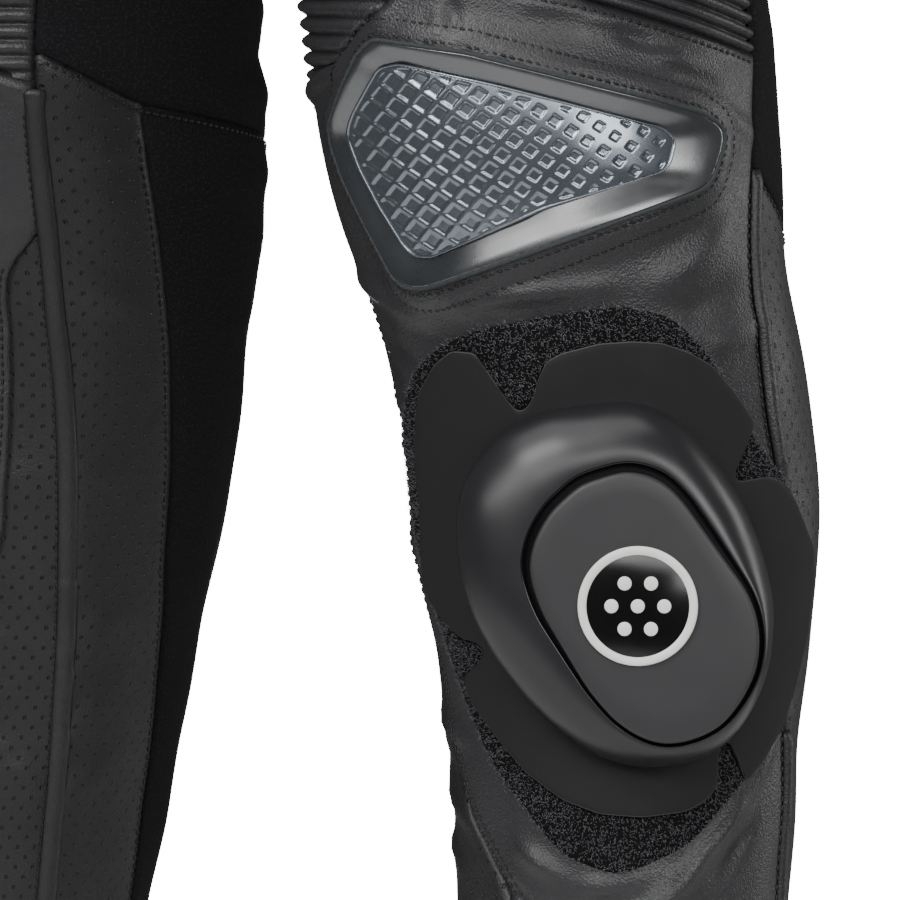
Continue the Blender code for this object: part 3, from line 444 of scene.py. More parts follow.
plate_edge = from_plate(plate_away[:, 0], plate_away[:, 1])
FAR_MM = 99.0
BATCH = 4000


def plate_distance(angle, z):
    """Millimetres outside the knee plate's edge on the leg, and negative on the plate."""
    gaps = np.full(z.shape, FAR_MM)
    near = (z > -0.60) & (z < -0.465) & (angle > -45) & (angle < 135)
    if not near.any():
        return gaps
    here = from_plate(angle[near], z[near])
    closest = np.full(len(here), FAR_MM)
    for start in range(0, len(here), BATCH):
        part = here[start:start + BATCH, None]
        away = part - plate_edge[None, ::2]
        closest[start:start + BATCH] = np.hypot(away[..., 0], away[..., 1]).min(axis=1)
    run, rise = here.T
    inside = np.hypot(run, rise) < reach_at(plate_edge, (0, 0), np.arctan2(rise, run))
    gaps[near] = np.where(inside, -closest, closest)
    return gaps


def ease(share):
    """A soft step from zero to one."""
    share = np.clip(share, 0, 1)
    return share * share * (3 - 2 * share)


PATCH_TOP = 2.0 * MM
CALF_RADIUS_MM = 70.0
patch_line = rounded(PATCH, 9.0, 240)
patch_wrapped = wrap(patch_line, PATCH_TOP)
slider_middle = wrap([SLIDER_MIDDLE], PATCH_TOP)[0]


def patch_share(angle, z):
    """How far a place lies from the slider's middle, as a share of the way to the patch's edge."""
    scale = np.array([math.radians(1) * CALF_RADIUS_MM, 1000.0])
    edge = (patch_wrapped - slider_middle) * scale
    across, up = (angle - slider_middle[0]) * scale[0], (z - slider_middle[1]) * scale[1]
    return np.hypot(across, up) / reach_at(edge, (0, 0), np.arctan2(up, across))


# %% The leather's surface
ROW_GAPS_MM = (2.6, 8.2)
ROW_WIDTHS_MM = (0.9, 1.1)
ROW_DIP = 0.55 * MM
WELT = 3.0 * MM
WELT_BELOW_MM = 4.6
WELT_WIDTH_MM = 2.7
WELT_START, WELT_END = -60, 24
CALM_MM = 5
CALM_FADE_MM = 7
PATCH_FADE = 0.1


def cloth_lift(angle, z):
    """The lift of the leather: its folds, the swell that holds the plate with its two stitched
    rows, and the soft welt under the inner ribs."""
    gap = plate_distance(angle, z)
    off_plate = ease((gap - CALM_MM) / CALM_FADE_MM)
    calm = off_plate * ease((patch_share(angle, z) - 1.0) / PATCH_FADE)
    swell = SWELL * ease((SWELL_REACH_MM - gap) / (SWELL_REACH_MM - SWELL_TOP_MM))
    swell = swell * ease((gap + SWELL_UNDER_MM) / SWELL_UNDER_FADE_MM)
    rows = ROW_DIP * sum(np.exp(-((gap - far) / wide) ** 2)
                         for far, wide in zip(ROW_GAPS_MM, ROW_WIDTHS_MM))
    low = (knee_top(angle) - z) * 1000
    welt = WELT * np.exp(-((low - WELT_BELOW_MM) / WELT_WIDTH_MM) ** 2)
    welt = welt * ease((WELT_END - angle) / 16) * ease((angle - WELT_START) / 10)
    broad = fold_lift(angle, z, SWELLS) * off_plate + ripple_lift(angle, z)
    return broad + fold_lift(angle, z, FOLDS) * calm + swell - rows + welt * ease((gap - 4) / 5)


def skin(angle, z, lift=0.0):
    """Points of the left half at angles and heights, lifted off the leather's plain form."""
    angle, z = np.broadcast_arrays(np.asarray(angle, float), np.asarray(z, float))
    turn = np.radians(angle)
    lean = ease((np.cos(turn) + 0.35) / 0.7)
    depth = ring("back", z) + (ring("front", z) - ring("back", z)) * lean
    x = ring("middle", z) + (ring("half_width", z) + lift) * np.sin(turn)
    y = ring("back_shift", z) - (depth + lift) * np.cos(turn)
    return np.stack([np.maximum(x, -1.0 * MM), y, z], axis=-1)


print("folds placed:", len(FOLDS), "and broad swells:", len(SWELLS))

# %% [markdown]
# A material starts from what the thing is made of. These helpers keep the recipes short: one turns
# a hex colour from a colour picker into Blender's linear values, one fills in a node's inputs, one
# adds a node with its options and inputs, and one makes a material with its shader.

# %% Material helpers


def linear(code):
    """An sRGB hex colour as linear red, green, blue and alpha."""
    parts = [int(code[k:k + 2], 16) / 255 for k in (1, 3, 5)]
    return [c / 12.92 if c <= 0.04045 else ((c + 0.055) / 1.055) ** 2.4 for c in parts] + [1.0]


def fill(tree, node, inputs):
    """Sets a node's inputs, or links those that are given another node's socket."""
    for name, value in inputs.items():
        if isinstance(value, bpy.types.NodeSocket):
            tree.links.new(value, node.inputs[name])
        else:
            node.inputs[name].default_value = value


def add_node(tree, kind, inputs, **options):
    """Adds a node with its options set and its inputs set or linked."""
    node = tree.nodes.new(kind)
    for name, value in options.items():
        setattr(node, name, value)
    fill(tree, node, inputs)
    return node


def new_material(name, values):
    """A material with one Principled shader: the material, its node tree and the shader."""
    material = bpy.data.materials.new(name)
    material.use_nodes = True
    shader = material.node_tree.nodes["Principled BSDF"]
    fill(material.node_tree, shader, values)
    material.diffuse_color = shader.inputs["Base Color"].default_value
    return material, material.node_tree, shader


print("white, linear:", linear("#ffffff"))

# %% [markdown]
# The leather is cowhide, drum dyed black and finished with a thin satin pigment coat. Its grain is
# small rounded cells just under 1 mm across with creases between them. Two Voronoi textures make
# the cells, a ridged noise makes the longer creases of bent leather, and a slow noise changes the
# colour and the shine, because a hide is never even.

# %% Leather
GRAIN_MM = 0.8
CREASE_MM = 1.0


def grain_height(tree, place):
    """A height pattern of hide cells, as one socket."""
    warp = add_node(tree, "ShaderNodeTexNoise", {"Vector": place, "Scale": 420.0, "Detail": 2.0})
    bent = add_node(tree, "ShaderNodeMixRGB",
                    {"Fac": 0.0009, "Color1": place, "Color2": warp.outputs["Color"]}, blend_type="ADD")
    cells = add_node(tree, "ShaderNodeTexVoronoi",
                     {"Vector": bent.outputs[0], "Scale": 1000.0 / GRAIN_MM, "Smoothness": 0.5},
                     feature="SMOOTH_F1")
    big = add_node(tree, "ShaderNodeTexVoronoi",
                   {"Vector": bent.outputs[0], "Scale": 1000.0 / (GRAIN_MM * 2.6)},
                   feature="DISTANCE_TO_EDGE")
    crease = add_node(tree, "ShaderNodeMapRange",
                      {"Value": big.outputs["Distance"], "From Min": 0.0, "From Max": 0.2,
                       "To Min": -0.22, "To Max": 0.0})
    total = add_node(tree, "ShaderNodeMath", {0: crease.outputs[0], 1: cells.outputs["Distance"]},
                     operation="SUBTRACT")
    return total.outputs[0]


def crease_height(tree, place):
    """Soft creases, strong in some patches of the hide and absent in others."""
    ridges = add_node(tree, "ShaderNodeTexNoise",
                      {"Vector": place, "Scale": 75.0, "Detail": 3.0, "Roughness": 0.45,
                       "Distortion": 0.4}, noise_type="RIDGED_MULTIFRACTAL")
    patches = add_node(tree, "ShaderNodeTexNoise", {"Vector": place, "Scale": 17.0, "Detail": 1.0})
    share = add_node(tree, "ShaderNodeMapRange",
                     {"Value": patches.outputs["Fac"], "From Min": 0.44, "From Max": 0.66})
    faded = add_node(tree, "ShaderNodeMath", {0: ridges.outputs["Fac"], 1: share.outputs[0]},
                     operation="MULTIPLY")
    return faded.outputs[0]


def leather(name, dark, light, roughness, bump_mm):
    """Grained hide: the material, its node tree, its shader and the last of its bump nodes."""
    material, tree, shader = new_material(name, {"Base Color": linear(dark), "Roughness": roughness,
                                                 "IOR": 1.5, "Specular IOR Level": 0.5})
    place = add_node(tree, "ShaderNodeTexCoord", {}).outputs["Object"]
    cloud = add_node(tree, "ShaderNodeTexNoise",
                     {"Vector": place, "Scale": 34.0, "Detail": 5.0, "Roughness": 0.6}).outputs["Fac"]
    share = add_node(tree, "ShaderNodeMapRange", {"Value": cloud, "From Min": 0.3, "From Max": 0.7})
    colour = add_node(tree, "ShaderNodeMix", {0: share.outputs[0], 6: linear(dark), 7: linear(light)},
                      data_type="RGBA")
    shine = add_node(tree, "ShaderNodeMapRange",
                     {"Value": cloud, "From Min": 0.3, "From Max": 0.7,
                      "To Min": roughness + 0.07, "To Max": roughness - 0.06})
    slow = add_node(tree, "ShaderNodeBump",
                    {"Height": crease_height(tree, place), "Strength": 0.6, "Distance": CREASE_MM * MM})
    bump = add_node(tree, "ShaderNodeBump",
                    {"Height": grain_height(tree, place), "Normal": slow.outputs[0],
                     "Strength": 0.8, "Distance": bump_mm * MM})
    fill(tree, shader, {"Base Color": colour.outputs[2], "Roughness": shine.outputs[0],
                        "Normal": bump.outputs[0]})
    return material, tree, shader, bump


black_leather = leather("cowhide_black_satin_finish", "#242426", "#2e2e30", 0.42, 0.22)[0]
# The piping is the panels' hide with darker colours: painted shade.
piping_painted_shade_leather = leather("cowhide_black_piping_painted_shade", "#1a1a1c", "#242426", 0.46, 0.17)[0]
print("leathers:", black_leather.name, piping_painted_shade_leather.name)

# %% [markdown]
# Perforated leather is the same hide, punched with pins for air. The rows of 1.4 mm holes are
# staggered. The pattern runs on a map in metres of leather that each panel carries, so the rows
# follow the panel and not the room. The table works out, one sum at a time, how far a place on the
# map lies from the nearest hole's middle.

# %% Perforated leather
HOLE_ACROSS_MM = 9.0
HOLE_UP_MM = 4.0
HOLE_MM = 1.45
HOLE_DEPTH = 0.9 * MM
FAR_COLUMNS = 400.0
Sum = namedtuple("Sum", "name kind first second")
HOLE_SUMS = [
    Sum("height_mm", "MULTIPLY", "height", 1000.0), Sum("row", "DIVIDE", "height_mm", HOLE_UP_MM),
    Sum("row_number", "FLOOR", "row", 0.0), Sum("positive", "ABSOLUTE", "row_number", 0.0),
    Sum("odd", "MODULO", "positive", 2.0), Sum("half_step", "MULTIPLY", "odd", 0.5),
    Sum("width_mm", "MULTIPLY", "width", 1000.0), Sum("column", "DIVIDE", "width_mm", HOLE_ACROSS_MM),
    Sum("staggered", "ADD", "column", "half_step"), Sum("from_far", "ADD", "staggered", FAR_COLUMNS),
    Sum("in_column", "FRACT", "from_far", 0.0), Sum("in_row", "SUBTRACT", "row", "row_number"),
    Sum("off_across", "SUBTRACT", "in_column", 0.5), Sum("off_up", "SUBTRACT", "in_row", 0.5),
    Sum("across_mm", "MULTIPLY", "off_across", HOLE_ACROSS_MM),
    Sum("up_mm", "MULTIPLY", "off_up", HOLE_UP_MM),
    Sum("across_square", "MULTIPLY", "across_mm", "across_mm"),
    Sum("up_square", "MULTIPLY", "up_mm", "up_mm"),
    Sum("squares", "ADD", "across_square", "up_square"), Sum("far", "SQRT", "squares", 0.0),
]


def hole_mask(tree):
    """One inside a punched hole and zero on the leather, from the panel's own map."""
    chart = add_node(tree, "ShaderNodeUVMap", {}, uv_map="panel")
    parts = add_node(tree, "ShaderNodeSeparateXYZ", {0: chart.outputs[0]})
    values = {"width": parts.outputs[0], "height": parts.outputs[1]}
    for row in HOLE_SUMS:
        inputs = {0: values[row.first], 1: values.get(row.second, row.second)}
        values[row.name] = add_node(tree, "ShaderNodeMath", inputs, operation=row.kind).outputs[0]
    mask = add_node(tree, "ShaderNodeMapRange",
                    {"Value": values["far"], "From Min": HOLE_MM * 0.32, "From Max": HOLE_MM * 0.62,
                     "To Min": 1.0, "To Max": 0.0})
    return mask.outputs[0]


def perforated(name):
    """Leather with dark sunk holes."""
    material, tree, shader, bump = leather(name, "#131315", "#1c1c1e", 0.5, 0.17)
    hole = hole_mask(tree)
    hide = shader.inputs["Base Color"].links[0].from_socket
    colour = add_node(tree, "ShaderNodeMix", {0: hole, 6: hide, 7: linear("#030303")}, data_type="RGBA")
    dent = add_node(tree, "ShaderNodeBump",
                    {"Height": hole, "Normal": bump.outputs[0], "Strength": 1.0,
                     "Distance": HOLE_DEPTH}, invert=True)
    fill(tree, shader, {"Base Color": colour.outputs[2], "Normal": dent.outputs[0]})
    return material


perforated_leather = perforated("cowhide_black_perforated")
print("holes, mm apart:", HOLE_ACROSS_MM, "across and", HOLE_UP_MM, "up")

# %% [markdown]
# The stretch panels are a woven aramid and elastane cloth, dull and nearly black. Its threads are
# far too fine to show at this distance, so a crossed wave in bands of 5.7 mm stands in for the weave
# and only breaks up the light a little. A wave texture of scale 1 turns 20 radians in each unit,
# which gives the scale for a band.

# %% Stretch cloth
WAVE_TURNS = 20.0


def woven(name, dark, light, band_mm):
    """A dull cloth with a crossed wave for its weave."""
    material, tree, shader = new_material(name, {"Base Color": linear(dark), "Roughness": 0.92,
                                                 "Specular IOR Level": 0.15})
    chart = add_node(tree, "ShaderNodeUVMap", {}, uv_map="panel").outputs[0]
    scale = math.tau * 1000.0 / (WAVE_TURNS * band_mm)
    warp, weft = [add_node(tree, "ShaderNodeTexWave",
                           {"Vector": chart, "Scale": scale, "Distortion": 0.6, "Detail": 1.0},
                           bands_direction=way).outputs["Fac"] for way in ("X", "Y")]
    weave = add_node(tree, "ShaderNodeMath", {0: warp, 1: weft}, operation="MULTIPLY")
    speck = add_node(tree, "ShaderNodeTexNoise", {"Vector": chart, "Scale": 900.0, "Detail": 2.0})
    share = add_node(tree, "ShaderNodeMapRange",
                     {"Value": speck.outputs["Fac"], "From Min": 0.5, "From Max": 0.75})
    colour = add_node(tree, "ShaderNodeMix", {0: share.outputs[0], 6: linear(dark), 7: linear(light)},
                      data_type="RGBA")
    bump = add_node(tree, "ShaderNodeBump",
                    {"Height": weave.outputs[0], "Strength": 0.6, "Distance": 0.25 * MM})
    fill(tree, shader, {"Base Color": colour.outputs[2], "Normal": bump.outputs[0]})
    return material


stretch_cloth = woven("aramid_stretch_weave", "#151517", "#262628", 5.6549)
print("cloth:", stretch_cloth.name)

# %% [markdown]
# The hard parts are moulded plastics: a satin nylon frame, a glossy smoked insert, a slider of
# satin thermoplastic and its thin flexible base. Spark eroded moulds leave a faint even texture,
# so each satin plastic has a fine noise in its bump and a slow one in its roughness.

# %% Moulded plastics


def moulded(name, colour, roughness, texture_mm=0.35, bump_mm=0.03, **more):
    """A moulded plastic, or a thread or metal as even as one, with a fine surface noise."""
    values = {"Base Color": linear(colour), "Roughness": roughness, "IOR": 1.5}
    values.update({key.replace("_", " "): value for key, value in more.items()})
    material, tree, shader = new_material(name, values)
    place = add_node(tree, "ShaderNodeTexCoord", {}).outputs["Object"]
    slow = add_node(tree, "ShaderNodeTexNoise", {"Vector": place, "Scale": 60.0, "Detail": 6.0})
    shine = add_node(tree, "ShaderNodeMapRange",
                     {"Value": slow.outputs["Fac"], "From Min": 0.3, "From Max": 0.7,
                      "To Min": roughness - 0.03, "To Max": roughness + 0.04})
    fine = add_node(tree, "ShaderNodeTexNoise",
                    {"Vector": place, "Scale": 1000.0 / texture_mm, "Detail": 2.0})
    bump = add_node(tree, "ShaderNodeBump",
                    {"Height": fine.outputs["Fac"], "Strength": 0.5, "Distance": bump_mm * MM})
    fill(tree, shader, {"Roughness": shine.outputs[0], "Normal": bump.outputs[0]})
    return material


satin_nylon = moulded("nylon_frame_satin", "#1d2125", 0.28, IOR=1.8, Specular_IOR_Level=1.0)
smoked_gloss = moulded("polycarbonate_smoked_gloss", "#7b8289", 0.26, 0.8, 0.004,
                       Metallic=0.85, Coat_Weight=0.6, Coat_Roughness=0.08)
slider_satin = moulded("thermoplastic_slider_satin", "#222224", 0.33)
slider_matte = moulded("thermoplastic_face_matte", "#2c2b2d", 0.5)
slider_gloss = moulded("thermoplastic_groove_gloss", "#141416", 0.12, 0.8, 0.004)
base_matte = moulded("elastomer_base_matte", "#1b1b1c", 0.75, 0.3, 0.05, Specular_IOR_Level=0.3)
base_cut = moulded("elastomer_cut_edge", "#3a3a3b", 0.7)
badge_white = moulded("abs_white", "#e9e9e6", 0.35)
badge_black = moulded("abs_black_gloss", "#0b0b0c", 0.15)
snap_metal = moulded("steel_black_nickel", "#4a4a4e", 0.28, Metallic=1.0)
thread_black = moulded("polyester_thread_black", "#101011", 0.5)
raw_edge = moulded("cowhide_raw_cut_edge", "#2c3032", 0.8, 0.7, 0.3)
pile_black = moulded("nylon_loop_pile", "#050506", 0.9, 0.5, 0.2, Specular_IOR_Level=0.2)
# The tips are the same black nylon as the pad; their pale grey is painted sparkle.
pile_tip_painted_sparkle = moulded("nylon_loop_fibre_painted_sparkle", "#4a4a4e", 0.3)
print("materials made:", len(bpy.data.materials))

# %% [markdown]
# Every piece is a mesh built from rows of points. One helper makes the quads between rows, another
# finishes a piece: it rides on the body and hides the solids it replaces.

# %% Mesh helpers
made = []


def quads(rows, columns, rows_closed=False, columns_closed=False):
    """Quads between rows of points, as an array of corner numbers."""
    row = np.arange(rows if rows_closed else rows - 1)[:, None]
    col = np.arange(columns if columns_closed else columns - 1)[None, :]
    below, right = (row + 1) % rows, (col + 1) % columns
    corners = [row * columns + col, row * columns + right,
               below * columns + right, below * columns + col]
    return np.stack([np.broadcast_to(c, (row.size, col.size)) for c in corners], axis=-1).reshape(-1, 4)


def add_piece(name, side, points, faces, materials, slot, replaced=(), face_slots=None, chart=None):
    """Makes a mesh object from points and faces, mirrored for the right leg."""
    points = np.array(points, float).reshape(-1, 3)
    faces = [list(map(int, face)) for face in faces]
    if side < 0:
        points[:, 0] *= -1
        faces = [face[::-1] for face in faces]
    mesh = bpy.data.meshes.new(name)
    mesh.from_pydata(points.tolist(), [], faces)
    for material in materials:
        mesh.materials.append(material)
    if face_slots is not None:
        mesh.polygons.foreach_set("material_index", np.asarray(face_slots, np.int32))
    if chart is not None:
        layer = mesh.uv_layers.new(name="panel")
        corner = np.zeros(len(mesh.loops), np.int32)
        mesh.loops.foreach_get("vertex_index", corner)
        layer.data.foreach_set("uv", np.asarray(chart, np.float32).reshape(-1, 2)[corner].ravel())
    mesh.shade_smooth()
    piece = bpy.data.objects.new(name, mesh)
    bpy.context.scene.collection.objects.link(piece)
    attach(piece, "root")
    if replaced:
        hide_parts(*replaced)
    made.append(piece)
    return piece


def thicken(piece, thickness):
    """Gives an open shell the cloth's thickness, inwards."""
    shell = piece.modifiers.new("thickness", "SOLIDIFY")
    shell.thickness = thickness
    shell.offset = -1


def outward(piece):
    """Turns a closed piece's faces outwards."""
    work = bmesh.new()
    work.from_mesh(piece.data)
    bmesh.ops.recalc_face_normals(work, faces=work.faces)
    work.to_mesh(piece.data)
    work.free()


# %% [markdown]
# A sewn panel is a grid of points between four seams. Its edges dip where the allowance is turned
# under, which draws the seam as a soft groove. Each panel runs on 0.9 mm past its seam, so that two
# neighbours cross at the foot of the groove and no light shows through. The map that a panel
# carries is in metres of real leather, for the holes and the weave. A height on a panel depends on
# the angle and the angle on the height, so both are worked out again in a few rounds.

# %% Sewn panels
SEAM_DIP = 1.7 * MM
SEAM_DIP_REACH = 3.4 * MM
LAP = 0.9 * MM
MEASURED_AT = 60.0
ROUNDS = 12
PANEL_THICKNESS = 1.4 * MM


def leg_map(angle, z):
    """A flat map of places on the leg, in metres of leather."""
    return np.stack([np.radians(angle) * LEG_RADIUS_MM * MM, z], axis=-1)


def panel_grid(top, bottom, start, end, cell):
    """Angles, heights, edge distances, map and shares of the width of a panel's points."""
    mid_z = (top(MEASURED_AT) + bottom(MEASURED_AT)) / 2
    tall = float(np.max(top(np.arange(-50.0, 300.0, 10)) - bottom(np.arange(-50.0, 300.0, 10))))
    levels = np.linspace(float(top(MEASURED_AT)), float(bottom(MEASURED_AT)), 20)
    wide = float(np.max(np.radians(end(levels) - start(levels)) * ring("half_width", levels)))
    rows, columns = max(4, int(tall / cell)), max(4, int(wide / cell))
    s = np.linspace(0, 1, rows)[:, None] * np.ones((1, columns))
    t = np.linspace(0, 1, columns)[None, :] * np.ones((rows, 1))
    z = mid_z + np.zeros_like(s)
    for _ in range(ROUNDS):
        radius = ring("half_width", z)
        spare = np.degrees(LAP / radius)
        low, high = start(z) - spare, end(z) + spare
        angle = low + (high - low) * t
        high_z, low_z = top(angle) + LAP, bottom(angle) - LAP
        z = high_z + (low_z - high_z) * s
    across = np.radians(high - low) * radius
    down = high_z - low_z
    edge = np.minimum(np.minimum(s, 1 - s) * down, np.minimum(t, 1 - t) * across)
    return angle, z, edge, leg_map(angle, z), t


def seam_dip(edge):
    """How far a panel's turned edge sinks at each distance from it."""
    return SEAM_DIP * (1 - ease(edge / SEAM_DIP_REACH))


def panel(row, side, cell):
    """One sewn panel of a leg."""
    angle, z, edge, chart, _ = panel_grid(row.top, row.bottom, row.start, row.end, cell)
    lift = cloth_lift(angle, z) - seam_dip(edge)
    piece = add_piece(row.name + "_cloth_" + SIDES[side], side, skin(angle, z, lift),
                      quads(*z.shape)[:, ::-1], [row.material], row.slot,
                      [row.name + "_" + SIDES[side]], chart=chart)
    thicken(piece, PANEL_THICKNESS)
    return piece


# %% The panels of a leg
fine, medium, coarse = 2.4 * MM, 3.4 * MM, 4.6 * MM
Panel = namedtuple("Panel", "name material slot top bottom start end cell")
PANELS = [
    Panel("thigh_front", black_leather, "black_leather", flat(BAND_FOOT), flat(RIB_TOP),
          front_inner, outer_seam, coarse),
    Panel("thigh_back", black_leather, "black_leather", flat(BAND_FOOT), flat(RIB_TOP),
          outer_seam, back_inner, coarse),
    Panel("thigh_gusset", stretch_cloth, "stretch_cloth", flat(GUSSET_TOP), flat(RIB_TOP),
          gusset_back, inner_turned, medium),
    Panel("knee_centre", black_leather, "black_leather", flat(RIB_TOP), knee_top,
          flat(CENTRE_START), flat(CENTRE_END), fine),
    Panel("knee_back", stretch_cloth, "stretch_cloth", flat(RIB_TOP), knee_back_foot,
          outer_seam, inner_turned, medium),
    Panel("shin_front", black_leather, "black_leather", knee_top, flat(HEM),
          shin_edge, outer_seam, 2.1 * MM),
    Panel("shin_outer", perforated_leather, "perforated_leather", knee_back_foot, flat(HEM),
          outer_seam, flat(BACK_SEAM), medium),
    Panel("calf_back", stretch_cloth, "stretch_cloth", knee_back_foot, flat(HEM),
          flat(BACK_SEAM), calf_seam, coarse),
    Panel("calf_inner", perforated_leather, "perforated_leather", knee_back_foot, flat(HEM),
          calf_seam, inner_turned, medium),
    Panel("shin_inner", perforated_leather, "perforated_leather", flat(SHIN_START), flat(HEM),
          inner_seam, shin_edge, medium),
]
FAR_LEG_CELL = 3.1 * MM
for leg in SIDES:
    for row in PANELS:
        panel(row, leg, row.cell if leg > 0 else max(row.cell, FAR_LEG_CELL))

# %% [markdown]
# The accordion panels over the knee are leather sewn in tucks over thin foam, so that they open as
# the knee bends. Each rib is a half round 5 to 6 mm high on the leg, and its crest is a little
# uneven because the leather puckers at each row of stitches.

# %% Accordion ribs
RIB_DEPTH = 3.6 * MM
INNER_PITCH = 6.1 * MM
OUTER_PITCH = 5.2 * MM
RIB_CELL = {1: 0.52 * MM, -1: 0.75 * MM}
RIB_THICKNESS = 1.0 * MM
RIB_FULLNESS = 0.72
RIB_WAVER = 0.09 * MM
PUCKER = 0.14 * MM
RIB_ENDS = 0.035
RIB_COLUMN_STEP = 4


def rib_shape(angle, z, share, foot, pitch):
    """Half round ribs with thin valleys, which run level or along the panel's foot."""
    place = (z - foot(angle) + RIB_WAVER * np.sin(np.radians(angle) * 14)) / pitch
    crest = np.abs(np.sin(math.pi * place)) ** RIB_FULLNESS
    pucker = PUCKER * np.sin(np.radians(angle) * 96 + np.floor(place) * 2.1) * crest
    ends = ease(np.minimum(share, 1 - share) / RIB_ENDS)
    return (RIB_DEPTH * (crest - 0.45) + pucker) * ends


for leg, tag in SIDES.items():
    for name, start, end, foot, pitch in (
            ("knee_ribs_inner", inner_seam, flat(CENTRE_START), flat(RIB_TOP), INNER_PITCH),
            ("knee_ribs_outer", flat(CENTRE_END), outer_seam, knee_top, OUTER_PITCH)):
        grid = panel_grid(flat(RIB_TOP), knee_top, start, end, RIB_CELL[leg])
        angle, z, edge, chart, share = [part[:, ::RIB_COLUMN_STEP] for part in grid]
        lift = cloth_lift(angle, z) * 0.3 - seam_dip(edge)
        lift = lift + rib_shape(angle, z, share, foot, pitch)
        piece = add_piece(name + "_cloth_" + tag, leg, skin(angle, z, lift), quads(*z.shape)[:, ::-1],
                          [black_leather], "black_leather", [name + "_" + tag], chart=chart)
        thicken(piece, RIB_THICKNESS)
print("ribs on each inner panel:", int((RIB_TOP - float(knee_top(-52))) / INNER_PITCH))

# %% [markdown]
# Stitches are small but they are what makes leatherwork read as sewn. Each one is a short bar with
# tapered ends, and a whole row is one mesh. They sit along paths given as angles and heights.

# %% Stitches
STITCH_LENGTH = 2.7 * MM
STITCH_PITCH = 3.5 * MM
STITCH_WIDTH = 0.5 * MM
THREAD_RISE = 0.12 * MM
THREAD_SINK = 0.25 * MM
LOOK_AHEAD = 0.4 * MM
STITCH_PROFILE = [(-0.62, 0.9), (0.0, 1.15), (0.62, 0.9)]
STITCH_CORNERS = 14
thread_points = {1: [], -1: []}
thread_faces = {1: [], -1: []}


def read_along(at, run, points):
    """Points of a line at given lengths along it."""
    return np.stack([np.interp(at, run, points[:, k]) for k in range(3)], axis=1)


def outward_way(angle, z):
    """The direction out of the leg at each place."""
    return (skin(angle, z, 1.0 * MM) - skin(angle, z, 0.0)) / MM


def stitch(side, angle, z, lift, pitch=STITCH_PITCH, slant=0.0):
    """Adds a row of stitches to a leg's thread."""
    points = skin(angle, z, lift + THREAD_RISE)
    gaps = np.linalg.norm(np.diff(points, axis=0), axis=1)
    run = np.concatenate([[0], np.cumsum(gaps)])
    at = np.arange(pitch / 2, run[-1], pitch)
    place = read_along(at, run, points)
    way = read_along(at + LOOK_AHEAD, run, points) - read_along(at - LOOK_AHEAD, run, points)
    way /= np.maximum(np.linalg.norm(way, axis=1), 1e-9)[:, None]
    out = read_along(at, run, outward_way(angle, z))
    out /= np.linalg.norm(out, axis=1)[:, None]
    cross = np.cross(way, out)
    way = way * math.cos(slant) + cross * math.sin(slant)
    cross = np.cross(way, out)
    base = sum(len(part) for part in thread_points[side])
    half = STITCH_LENGTH / 2
    for k in range(len(place)):
        centre = place[k]
        corners = [centre - way[k] * half - out[k] * THREAD_SINK]
        for step, scale in STITCH_PROFILE:
            middle = centre + way[k] * half * step
            for quarter in range(4):
                spin = math.tau * quarter / 4
                corners.append(middle + (cross[k] * math.cos(spin) + out[k] * 0.8 * math.sin(spin))
                               * STITCH_WIDTH * scale)
        corners.append(centre + way[k] * half - out[k] * THREAD_SINK)
        thread_points[side].append(np.array(corners))
        first = base + k * STITCH_CORNERS
        for q in range(4):
            r = (q + 1) % 4
            thread_faces[side].append([first, first + 1 + q, first + 1 + r])
            thread_faces[side].append([first + 13, first + 9 + r, first + 9 + q])
            for band in (1, 5):
                thread_faces[side].append([first + band + q, first + band + 4 + q,
                                           first + band + 4 + r, first + band + r])

# %% Paths for stitches


def seam_row(side, line, top, bottom, shift_mm):
    """A row of stitches beside a seam that runs down the leg."""
    z = np.arange(top, bottom, -2 * MM)
    angle = line(z) + np.degrees(shift_mm * MM / ring("half_width", z))
    stitch(side, angle, z, cloth_lift(angle, z))


def level_row(side, line, start, end, shift_mm):
    """A row of stitches beside a seam that runs round the leg."""
    angle = np.arange(start, end, 1.5)
    z = line(angle) + shift_mm * MM
    stitch(side, angle, z, cloth_lift(angle, z))


def offset_line(line, gap_mm):
    """A closed outline moved outwards along its own normals."""
    ahead, behind = np.roll(line, -3, axis=0), np.roll(line, 3, axis=0)
    way = ahead - behind
    way /= np.linalg.norm(way, axis=1)[:, None]
    normal = np.stack([way[:, 1], -way[:, 0]], axis=1)
    middle = line.mean(axis=0)
    flip = np.sign(np.sum(normal * (line - middle), axis=1).mean())
    return line + normal * flip * gap_mm


def plate_row(gap_mm):
    """Angles and heights of a line that runs round the plate at a distance."""
    line = offset_line(plate_edge, gap_mm)
    line = np.concatenate([line, line[:1]])
    return plate_middle[0] + np.degrees(line[:, 0] / KNEE_RADIUS_MM), plate_middle[1] + line[:, 1] * MM


FLY_TOP, FLY_FOOT, FLY_WIDTH = -0.0465, -0.185, 0.034


def fly_edge(z):
    """How far the fly flap's curved edge lies from the front middle."""
    down = (FLY_TOP - z) / (FLY_TOP - FLY_FOOT)
    return FLY_WIDTH * np.sqrt(np.maximum(0.02, 1 - down ** 3))


def fly_row(side, inset):
    """A row of stitches along the fly flap's curved edge."""
    z = np.arange(FLY_TOP - 3 * MM, FLY_FOOT + 4 * MM, -2 * MM)
    across = np.maximum(fly_edge(z) - inset, 1 * MM)
    angle = np.degrees(np.arcsin((across - ring("middle", z)) / ring("half_width", z)))
    stitch(side, angle, z, np.full_like(z, 2.9 * MM))


